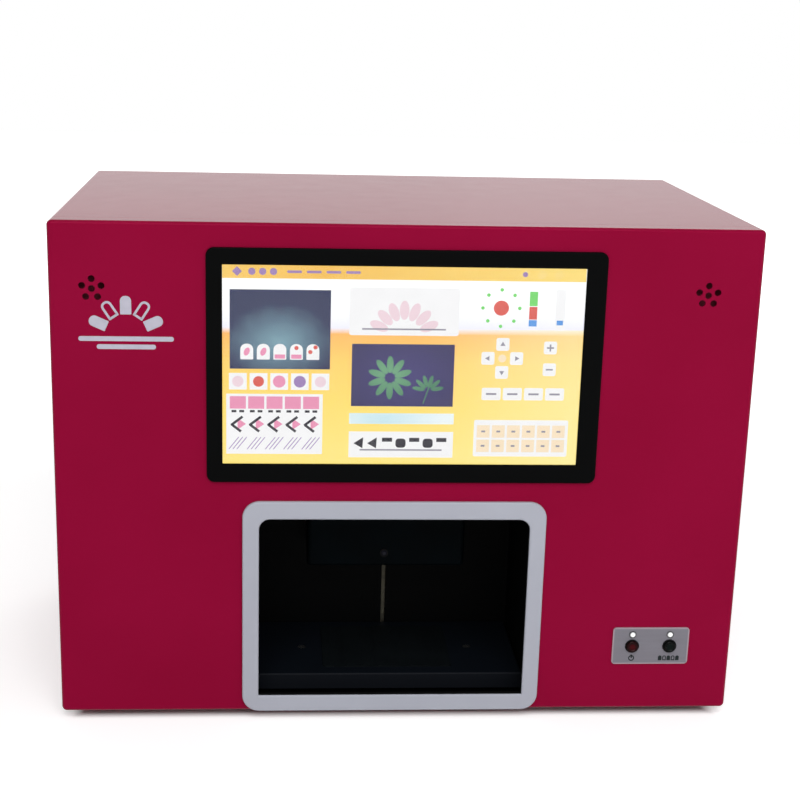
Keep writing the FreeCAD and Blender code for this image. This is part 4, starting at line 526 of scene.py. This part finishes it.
# ---------------------------------------------------------------- places taken from the frame
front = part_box("front_panel")[0].y
glass_low, glass_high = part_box("touch_glass")
glass_margin = 4 * mm                       # cover glass beyond the lit picture
lit_sink = 0.6 * mm                         # lit face behind the display module's rim
lit_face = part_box("lcd_panel")[0].y + lit_sink
picture_left = glass_low.x + glass_margin
picture_low = glass_low.z + glass_margin
picture_w = glass_high.x - glass_low.x - 2 * glass_margin
picture_h = glass_high.z - glass_low.z - 2 * glass_margin

# ---------------------------------------------------------------- dressing the CAD nodes
screw_lead = 4 * mm                         # of both lead screws
red_paint = sprayed_paint()
cabinet_black = pebbled_black("textured_black", 0.0025, 1500, 3e-5, 0.5)
soft_black = pebbled_black("moulded_black", 0.006, 2600, 8e-6, 0.42)
bezel_black = pebbled_black("bezel_black", 0.0022, 3000, 4e-6, 0.3, ior=1.09)
zinc = bare_metal("zinc_plate", (0.60, 0.62, 0.64, 1), (0.42, 0.44, 0.47, 1), 140, 0.3, 4e-6)
screw_zinc = bare_metal("screw_zinc", (0.72, 0.73, 0.74, 1), (0.56, 0.57, 0.58, 1), 900, 0.2, 3e-6)
ground_steel = bare_metal("ground_steel", (0.70, 0.71, 0.72, 1), (0.60, 0.61, 0.62, 1), 400, 0.12, 2e-6)
cast_alloy = bare_metal("cast_alloy", (0.52, 0.53, 0.54, 1), (0.42, 0.43, 0.44, 1), 1200, 0.42, 2e-5)
brass = bare_metal("turned_brass", (0.80, 0.58, 0.24, 1), (0.66, 0.45, 0.17, 1), 700, 0.22, 3e-6)

node_finish = {
    red_paint: ["cabinet_cover", "front_panel", "rear_panel"],
    cabinet_black: ["base_tray", "bay_liner"],
    soft_black: ["alignment_camera", "print_carriage", "button_switches", "fan_frame", "power_inlet",
                 "power_rocker"],
    pebbled_black("shroud_black", 0.0013, 1500, 3e-5, 0.5, ior=1.08, blue=4.0): ["print_shroud"],
    platform_finish(): ["hand_platform"],
    bezel_black: ["screen_bezel"],
    zinc: ["screen_clamps", "lift_bracket", "engine_frame", "power_supply"],
    arm_steel(): ["lift_arm"],
    screw_zinc: ["idler_pin"],
    port_finish(): ["rear_ports"],
    crossed_head("rear_screw_zinc", screw_middles("rear_screws"), "XZ"): ["rear_screws"],
    crossed_head("platform_screw_zinc", screw_middles("platform_screws"), "XY"): ["platform_screws"],
    ground_steel: ["lift_rods", "y_rods", "x_rod"],
    cast_alloy: ["gantry_frame", "x_drive_pulley", "x_idler_pulley", "heat_sink"],
    brass: ["switch_nuts", "board_standoffs"],
    rubber("foot_rubber", 0.012, 0.75): ["rubber_feet"],
    rubber("pad_silicone", 0.002, 0.6, blue=1.7): ["finger_pad"],
    rubber("belt_rubber", 0.014, 0.7): ["x_belt"],
    bay_frame_finish(): ["bay_frame"],
    moulded("cartridge_white", (0.72, 0.72, 0.70, 1)): ["ink_cartridge"],
    tinted_button("button_red", "left_button", (0.060, 0.0015, 0.004, 1)): ["left_button"],
    tinted_button("button_green", "right_button", (0.001, 0.006, 0.005, 1)): ["right_button"],
    lamp_finish("indicator_white", "indicator_lights", 2, (0.3, 0.31, 0.32, 1), 1.9 * mm, 1.85 * mm,
                glow=1.0): ["indicator_lights"],
    lamp_finish("bay_lamp_lens", "bay_lamp", 1, (0.012, 0.012, 0.02, 1), 1.6 * mm, 1.9 * mm,
                glow=0.006, ior=1.12): ["bay_lamp"],
    threaded_steel("lift_thread", "Z", "lift_screw", screw_lead): ["lift_screw"],
    threaded_steel("carriage_thread", "Y", "y_lead_screw", screw_lead): ["y_lead_screw"],
    stepper_finish("lift_motor_finish", "lift_motor", "Z"): ["lift_motor"],
    stepper_finish("y_motor_finish", "y_motor", "Y"): ["y_motor"],
    stepper_finish("x_motor_finish", "x_motor", "Y"): ["x_motor"],
    display_finish(): ["lcd_panel"],
    cover_glass_finish(): ["touch_glass"],
    control_plate_finish(): ["control_plate"],
    circuit_board_finish(): ["mainboard"],
    speaker_finish(): ["speakers"],
    print_head_finish(): ["print_head"],
    fan_rotor_finish(): ["fan_rotor"],
}
for finish, names in node_finish.items():
    for name in names:
        mesh = nodes[name].data
        mesh.materials.clear()
        mesh.materials.append(finish)

# ---------------------------------------------------------------- picture on the display
layer = 0.08 * mm                           # each layer of the picture lies this far before the last
layer_share = 0.6                           # thickness of a layer, as a share of that
pixel = 0.22 * mm
pixel_gap = 0.015 * mm                      # half the dark line between two pixels


def glow(name, colour, edge=None, middle=(0, 0), reach=1.0):
    """Lit pixels of one colour, or of one that turns to another away from a point of the picture (mm)."""
    f = Finish(name)
    rows = f.maths("PINGPONG", f.axis("Z"), pixel / 2) < pixel_gap
    columns = f.maths("PINGPONG", f.axis("X"), pixel / 2) < pixel_gap
    shade = f.mix(f.noise(90, 2), colour, dimmed(colour, 0.94))
    if edge:
        across = f.axis("X") - (picture_left + middle[0] * mm)
        up = f.axis("Z") - (picture_low + middle[1] * mm)
        away = f.radius(across, up * 1.4) / (reach * mm)
        shade = f.mix((away + f.noise(160, 4) * 0.3 - 0.15).clamped(), shade, edge)
    lit = f.mix((rows + columns).clamped() * 0.12, shade, grey(0))
    return f.surface(base_color=grey(0.01), roughness=0.3, ior=1.2, emission_color=lit, emission_strength=1.0)


def outline(add, width, height, turn=0.0, corner=0.0, **options):
    """Flat outline in millimetres that faces the user, centred on the origin, its corners rounded."""
    bpy.ops.object.select_all(action="DESELECT")
    add(**options)
    piece = bpy.context.object
    piece.scale = (width * mm, height * mm, 1)
    bpy.ops.object.transform_apply(location=False, rotation=False, scale=True)
    if corner:
        bpy.ops.object.mode_set(mode="EDIT")
        bpy.ops.mesh.select_all(action="SELECT")
        bpy.ops.mesh.bevel(offset=corner * mm, segments=4, affect="VERTICES")
        bpy.ops.object.mode_set(mode="OBJECT")
    piece.rotation_euler = (math.pi / 2, math.radians(turn), 0)
    bpy.ops.object.transform_apply(location=False, rotation=True, scale=False)
    return piece


def block(width, height, turn=0.0, corner=0.0):
    """Rectangle, turned clockwise by degrees."""
    return outline(bpy.ops.mesh.primitive_plane_add, width, height, turn, corner, size=1)


def disc(width, height=None, turn=0.0, sides=24):
    """Disc or oval, or with few sides a triangle or a square on its corner."""
    return outline(bpy.ops.mesh.primitive_circle_add, width, height or width, turn, vertices=sides,
                   radius=0.5, fill_type="NGON")


def nail(width, height, turn=0.0):
    """Nail outline: square at the root, rounded at the tip."""
    tip, root, weld = 0.46 * width * mm, 0.06 * width * mm, 0.02 * width * mm
    piece = block(width, height)
    bpy.ops.object.mode_set(mode="EDIT")
    bpy.ops.mesh.select_all(action="DESELECT")
    bpy.ops.object.mode_set(mode="OBJECT")
    for vertex in piece.data.vertices:
        vertex.select = vertex.co.z > 0
    bpy.ops.object.mode_set(mode="EDIT")
    bpy.ops.mesh.bevel(offset=tip, segments=5, affect="VERTICES")
    bpy.ops.mesh.select_all(action="SELECT")
    bpy.ops.mesh.bevel(offset=root, segments=2, affect="VERTICES")
    bpy.ops.mesh.remove_doubles(threshold=weld)
    bpy.ops.object.mode_set(mode="OBJECT")
    piece.rotation_euler = (0, math.radians(turn), 0)
    bpy.ops.object.transform_apply(location=False, rotation=True, scale=False)
    return piece


def line(piece, stroke):
    """The outline alone, drawn with a line of this width."""
    bpy.ops.object.mode_set(mode="EDIT")
    bpy.ops.mesh.select_all(action="SELECT")
    bpy.ops.mesh.inset(thickness=stroke * mm, depth=0)
    bpy.ops.mesh.delete(type="FACE")
    bpy.ops.object.mode_set(mode="OBJECT")
    return piece


def join(pieces, name):
    """One object of these, with its place in its mesh."""
    bpy.ops.object.select_all(action="DESELECT")
    for piece in pieces:
        piece.select_set(True)
    whole = bpy.context.view_layer.objects.active = pieces[0]
    if len(pieces) > 1:
        bpy.ops.object.join()
    bpy.ops.object.transform_apply(location=True, rotation=True, scale=True)
    whole.name = whole.data.name = name
    return whole


def stamp(piece, places, origin):
    """Copies of a piece, each with its own mesh, at places (mm across, mm up) from an origin."""
    copies = []
    for across, up in places:
        copy = piece.copy()
        copy.data = piece.data.copy()
        bpy.context.collection.objects.link(copy)
        copy.location = Vector(origin) + Vector((across * mm, 0, up * mm))
        copies.append(copy)
    bpy.data.objects.remove(piece)
    return copies


def finish_piece(piece, finish, body):
    """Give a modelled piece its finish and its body."""
    piece.data.materials.clear()
    piece.data.materials.append(finish)
    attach(piece, body)


def thicken(piece, depth):
    """Give a flat outline a wall of this depth, behind it."""
    bpy.ops.object.select_all(action="DESELECT")
    piece.select_set(True)
    bpy.context.view_layer.objects.active = piece
    wall = piece.modifiers.new("wall", "SOLIDIFY")
    wall.thickness = depth
    wall.offset = -1
    bpy.ops.object.modifier_apply(modifier="wall")


def printed(name, finish, slot, origin, depth, *stamps):
    """Flat marks in one piece: outlines with their places in mm from an origin, and this thick."""
    copies = [copy for piece, places in stamps for copy in stamp(piece, places, origin)]
    whole = join(copies, name)
    thicken(whole, depth)
    finish_piece(whole, finish, "cabinet")


def picture(name, finish, level, *stamps):
    """One layer of the picture, its places measured from the lower left corner."""
    origin = (picture_left, lit_face - level * layer, picture_low)
    printed("picture_" + name, finish, "display", origin, layer_share * layer, *stamps)


def row(first, pitch, count, height):
    """Places along one level line, in mm: the first across, then one each pitch."""
    return [(first + pitch * i, height) for i in range(count)]


def arc(middle, radius, angles):
    """Places on an arc round a point, by angle in degrees from upright, clockwise."""
    turns = [math.radians(a) for a in angles]
    return [(middle[0] + radius * math.sin(t), middle[1] + radius * math.cos(t)) for t in turns]


def fan_of_petals(middle, radius, angles, width, height):
    """One petal outline at each angle, turned to point outwards."""
    places = arc(middle, radius, angles)
    return [(disc(width, height, angle), [place]) for angle, place in zip(angles, places)]


def draw_picture():
    """Plain work screen: title bar, camera view, sample cards, pattern swatches and round controls."""
    white = glow("screen_white", paint(252, 250, 252))
    black = glow("screen_black", paint(44, 40, 52))
    pink = glow("screen_pink", paint(240, 150, 186))
    violet = glow("screen_violet", paint(160, 128, 186))
    red = glow("screen_red", paint(226, 92, 82))
    blush = glow("screen_blush", paint(244, 216, 226))
    amber = glow("screen_amber", paint(252, 196, 84), paint(255, 222, 120), (60, 122), 160)
    camera_view = glow("screen_camera_view", paint(126, 164, 180), paint(34, 42, 84), (35, 78), 34)
    indigo = glow("screen_indigo", paint(64, 54, 120), paint(46, 38, 92), (112, 57), 40)
    leaf_green = glow("screen_leaf_green", paint(112, 168, 128), paint(74, 130, 96), (104, 60), 30)
    sky = glow("screen_sky", paint(206, 236, 244), paint(240, 248, 250), (100, 29), 40)
    peach = glow("screen_peach", paint(255, 232, 200))
    lime = glow("screen_lime", paint(120, 222, 110))
    blue = glow("screen_blue", paint(90, 156, 232))
    slate = glow("screen_slate", paint(150, 146, 160))

    nails = row(15, 10.2, 5, 72)
    thumbs = row(9.5, 12.8, 5, 53)
    swatches = [row(9.5, 11.4, 5, v) for v in (38, 25.5, 13)]
    pad = [(174, 78), (165, 69), (183, 69), (174, 60)]
    keys = row(168, 13.4, 4, 46)
    cells = row(164, 9.6, 6, 21.5) + row(164, 9.6, 6, 12)
    icons = row(86, 8.6, 7, 13.5)

    picture("title_bar", amber, 1, (block(224, 8.6), [(112, 122.2)]))
    picture("camera_view", camera_view, 1, (block(62, 50), [(35.5, 86)]))
    picture("dark_card", indigo, 1, (block(64, 40), [(112, 57.5)]))
    picture("info_bar", sky, 1, (block(66, 7), [(112, 29.5)]))
    picture("white_cards", white, 1, (block(68, 30, corner=1.5), [(112, 98)]),
            (block(66, 17), [(112, 12.5)]), (block(11, 10.6), thumbs), (block(60, 39), [(32.3, 25.5)]),
            (block(8.2, 8.2, corner=1.2), pad), (block(8.2, 8.2, corner=1.2), [(204, 76), (204, 62)]),
            (block(12, 8, corner=1), keys), (block(60, 24, corner=1), [(188, 17)]),
            (block(6, 26, corner=1), [(209, 100)]), (disc(5.5), row(186, 10.5, 3, 122.2)))
    picture("title_marks", violet, 2, (disc(6, sides=4), [(9, 122.2)]), (disc(4.4), row(18, 6.6, 3, 122.2)),
            (block(9, 1.6, corner=0.7), row(44, 12, 4, 122.2)), (disc(3.2), [(186, 122.2)]),
            (disc(7.5), [thumbs[3]]),
            (block(0.5, 10, 38), [(u + d, v) for u, v in swatches[2] for d in (-2.5, 0, 2.5)]))
    picture("nail_samples", white, 2, (nail(8, 10), nails))
    picture("pink_marks", pink, 3, (disc(3.4, 5.4, 24), nails[:2]),
            (block(6.4, 2.6), [(u, v - 3) for u, v in nails[2:4]]))
    picture("pink_swatches", pink, 2, (block(10, 8), [(u, v + 1.4) for u, v in swatches[0]]),
            (disc(8.5, 7, 90, sides=3), [(u + 1.6, v) for u, v in swatches[1]]), (disc(7.8), [thumbs[2]]))
    picture("red_marks", red, 3,
            (disc(2.6), [(nails[3][0], 74.5), (nails[4][0] - 1.6, 72), (nails[4][0] + 1.6, 75)]),
            (disc(6.8), [thumbs[1]]), (disc(9.5), [(172, 101)]), (block(5, 8), [(192, 98)]))
    picture("black_marks", black, 3,
            (block(3, 1.5), [(u + d, v - 4.2) for u, v in swatches[0] for d in (-2.4, 2.4)]),
            (block(1.6, 9, 52), [(u - 0.6, v + 2) for u, v in swatches[1]]),
            (block(1.6, 7.5, -52), [(u - 1, v - 2.6) for u, v in swatches[1]]),
            (disc(7.5, 8.5, 30, sides=3), icons[:2]), (block(6.4, 6, corner=2), icons[3::2]),
            (block(6.4, 2.6), [(u, v + 2.2) for u, v in icons[2::2]]))
    picture("blush_nails", blush, 2, *fan_of_petals((112, 82), 17, range(-66, 67, 22), 6, 12),
            (disc(7), [thumbs[0], thumbs[4]]))
    picture("leaf_sprays", leaf_green, 2, *fan_of_petals((104, 56), 8.5, range(0, 360, 36), 4.2, 11),
            *fan_of_petals((128, 48), 6, range(-80, 81, 32), 2.6, 8), (block(0.8, 12, 18), [(127, 45)]))
    picture("lime_level", lime, 2, (block(5, 9), [(192, 107)]),
            (disc(2.2), arc((172, 101), 11.5, range(0, 360, 45))))
    picture("blue_level", blue, 2, (block(5, 4), [(192, 91.6)]), (block(4, 3), [(209, 92)]))
    picture("peach_cells", peach, 2, (block(8.2, 8.2), cells), (disc(5), [(174, 69)]))
    picture("grey_marks", slate, 3,
            (disc(3.6, 3.6, 0, sides=3), [pad[0]]), (disc(3.6, 3.6, 180, sides=3), [pad[3]]),
            (disc(3.6, 3.6, -90, sides=3), [pad[1]]), (disc(3.6, 3.6, 90, sides=3), [pad[2]]),
            (block(4.4, 1), [(204, 76), (204, 62)]), (block(1, 4.4), [(204, 76)]), (block(6.5, 1.2), keys),
            (block(2.4, 1.2), cells), (block(52, 1), [(112, 9), (112, 87)]))


draw_picture()


# ---------------------------------------------------------------- printed marks and fan screws
ink = 0.1 * mm                              # thickness of a printed mark
fan_hole_reach = 35.75 * mm                 # fan holes from its centre, across and up
pan_r = 3.6 * mm                            # pan head of a fan screw
pan_h = 1.8 * mm
pan_edge = 0.7 * mm
recess_depth = 0.6 * mm


def printing_ink(name, colour, roughness, metallic=0.0):
    """Screen-printed ink, a little uneven where the mesh of the screen showed."""
    f = Finish(name)
    mesh = f.noise(2600, 2)
    tone = f.mix(f.noise(260, 4), colour, dimmed(colour, 0.82))
    return f.surface(base_color=tone, metallic=metallic, roughness=roughness + mesh * 0.12, ior=1.3,
                     normal=f.bump(mesh, 8e-6))


def emblem():
    """Silver ornament below the left speaker: a fan of five nails above two stripes."""
    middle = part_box("front_panel")[0].x + 46.5 * mm
    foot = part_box("speakers")[0].z - 17 * mm
    fan_middle, fan_r = (0, 7.5), 18.5      # of the five nails, in mm from the lower stripe
    nail_w, nail_h, stroke = 6.8, 11.5, 1.4
    angles = (-66, -33, 0, 33, 66)
    nails = list(zip(angles, arc(fan_middle, fan_r, angles)))
    solid = [(nail(nail_w, nail_h, angle), [place]) for angle, place in nails[::2]]
    drawn = [(line(nail(nail_w, nail_h, angle), stroke), [place]) for angle, place in nails[1::2]]
    printed("emblem", printing_ink("silver_ink", paint(188, 186, 200), 0.36, 0.25), "plate_grey",
            (middle, front - ink, foot), ink, *solid, *drawn, (block(58, 3, corner=1.4), [(0, 5)]),
            (block(36, 3, corner=1.4), [(0, 0)]))


def button_marks():
    """Dark signs under the buttons: a power sign, and a row of nails to print."""
    plate_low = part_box("control_plate")[0]
    left, right = (middle_of(name).x for name in ("left_button", "right_button"))
    pitch = (right - left) / mm
    up = 4.2 * mm                           # middle of the signs, from the plate's lower edge
    nail_w, nail_h, step = 2.4, 3.4, 5.8    # of the row: solid nails this far apart, outlined ones between
    printed("button_marks", printing_ink("sign_black", (0.004, 0.009, 0.010, 1), 0.45), "black_plastic",
            (left, plate_low.y - ink, plate_low.z + up), ink,
            (line(disc(4, sides=32), 0.7), [(0, 0)]), (block(0.8, 2.5), [(0, 1.2)]),
            (nail(nail_w, nail_h), row(pitch - step, step, 3, 0)),
            (line(nail(nail_w, nail_h), 0.6), row(pitch - step / 2, step, 2, 0)))


def sink(piece, place, size):
    """Cut a square pocket of this size, centred on a place, out of a piece."""
    bpy.ops.mesh.primitive_cube_add(size=1, location=place)
    tool = bpy.context.object
    tool.scale = size
    bpy.context.view_layer.objects.active = piece
    pocket = piece.modifiers.new("pocket", "BOOLEAN")
    pocket.object = tool
    bpy.ops.object.modifier_apply(modifier="pocket")
    bpy.data.objects.remove(tool)


def fan_screws():
    """Pan heads over the four holes of the rear panel at the fan's corners."""
    middle = middle_of("fan_frame")
    bpy.ops.object.select_all(action="DESELECT")
    bpy.ops.mesh.primitive_cylinder_add(vertices=32, radius=pan_r, depth=pan_h, rotation=(math.pi / 2, 0, 0))
    head = bpy.context.object
    bpy.ops.object.transform_apply(location=False, rotation=True, scale=False)
    edge = head.modifiers.new("edge", "BEVEL")
    edge.width = pan_edge
    edge.segments = 3
    edge.limit_method = "ANGLE"
    bpy.ops.object.modifier_apply(modifier="edge")
    for wide, tall in ((recess_reach, recess_half), (recess_half, recess_reach)):
        sink(head, (0, pan_h / 2, 0), (2 * wide, 2 * recess_depth, 2 * tall))
    places = [(dx * fan_hole_reach / mm, dz * fan_hole_reach / mm) for dx in (-1, 1) for dz in (-1, 1)]
    seat = (middle.x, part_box("rear_panel")[1].y + pan_h / 2, middle.z)
    centres = [Vector(seat) + Vector((x, 0, z)) * mm for x, z in places]
    finish_piece(join(stamp(head, places, seat), "fan_screws"),
                 crossed_head("fan_screw_zinc", centres, "XZ"), "cabinet")


emblem()
button_marks()
fan_screws()


# ---------------------------------------------------------------- floor, surround, lamps and camera
def ray_kinds(f):
    """1 for rays from the lens, for rays off a gloss and for rays through glass, each on its own."""
    return [f.node("LightPath", output=f"Is {kind} Ray") for kind in ("Camera", "Glossy", "Transmission")]


def studio_floor():
    """Pale floor: lifted to white where the lens or a reflection sees it, but not deep under the machine,
    where the lift is withheld as a painted shadow over the rendered one.
    """
    bpy.ops.mesh.primitive_plane_add(size=8)
    floor = bpy.context.object
    floor.name = "studio_floor"
    near_lift, near = 0.45, 0.5             # lift beside the machine, and how far it holds
    shade_start, shade_fade = 5 * mm, 8 * mm  # in from the machine's outline: where the painted shadow starts, and how far it deepens
    f = Finish("studio_floor")
    camera, glossy, through = ray_kinds(f)
    seen = (camera + glossy + through).clamped()
    wear = f.mix(f.noise(3, 3), grey(0.80), grey(0.84))
    distance = f.node("VectorMath", {0: f.place}, operation="LENGTH", output="Value")
    inside = f.maths("MINIMUM", cad_box[1].x - f.off("X"), cad_box[1].y - f.off("Y"))
    # painted shadow: under the machine's outline the lift fades out, leaving the floor dark
    shade = ((inside - shade_start) / shade_fade).clamped()
    lift = (near_lift + (distance - near).clamped() * (1 - near_lift)) * (1 - shade)
    floor.data.materials.append(f.surface(base_color=wear, roughness=0.9, ior=1.2, emission_strength=1.0,
                                          emission_color=f.mix(seen * lift, grey(0), grey(1))))


def soft_surround():
    """White backdrop for the lens; glosses see it bright before and behind the machine, dim at its sides."""
    ambient, side_gloss = 0.31, 0.3
    f = Finish("soft_surround", bpy.data.worlds)
    depth = f.node("SeparateXYZ", {0: f.node("TexCoord", output="Generated")}, output="Y")
    gloss = side_gloss + f.maths("ABSOLUTE", depth) * (1 - side_gloss)
    camera, glossy, through = ray_kinds(f)
    plain = (camera + through).clamped()
    level = f.maths("MAXIMUM", plain, glossy * gloss) + (1 - (plain + glossy).clamped()) * ambient
    shade = f.node("Background", {"Color": grey(1), "Strength": level})
    f.node("OutputWorld", {"Surface": shade})
    bpy.context.scene.world = f.owner


def soft_lamp(name, place, aim, size, watts):
    """Square soft lamp that hangs at a place and points at another."""
    bpy.ops.object.light_add(type="AREA", location=place)
    lamp = bpy.context.object
    lamp.name = name
    lamp.rotation_euler = (Vector(aim) - Vector(place)).to_track_quat("-Z", "Y").to_euler()
    lamp.data.size = size
    lamp.data.energy = watts


def front_camera():
    """Camera at eye height in front of the machine, a little to its left."""
    place = (-0.08032, -1.03610, 0.46384)
    turn = [math.radians(a) for a in (74.9017, -1.3459, -3.4410)]
    bpy.ops.object.camera_add(location=place, rotation=turn)
    camera = bpy.context.object
    camera.data.sensor_width = 36.0
    camera.data.lens = 67.77
    camera.data.shift_x = 0.0312
    camera.data.shift_y = -0.0008
    bpy.context.scene.camera = camera


studio_floor()
soft_surround()
soft_lamp("key_lamp", (-0.1, -1.75, 1.9), (0, -0.1, 0.15), 1.6, 36)
soft_lamp("fill_lamp", (1.1, -1.5, 0.9), (0, 0, 0.2), 1.2, 6)
soft_lamp("rear_lamp", (0.8, 1.8, 1.6), (0, 0.1, 0.15), 1.4, 15)
front_camera()
bpy.context.scene.view_settings.view_transform = "Standard"
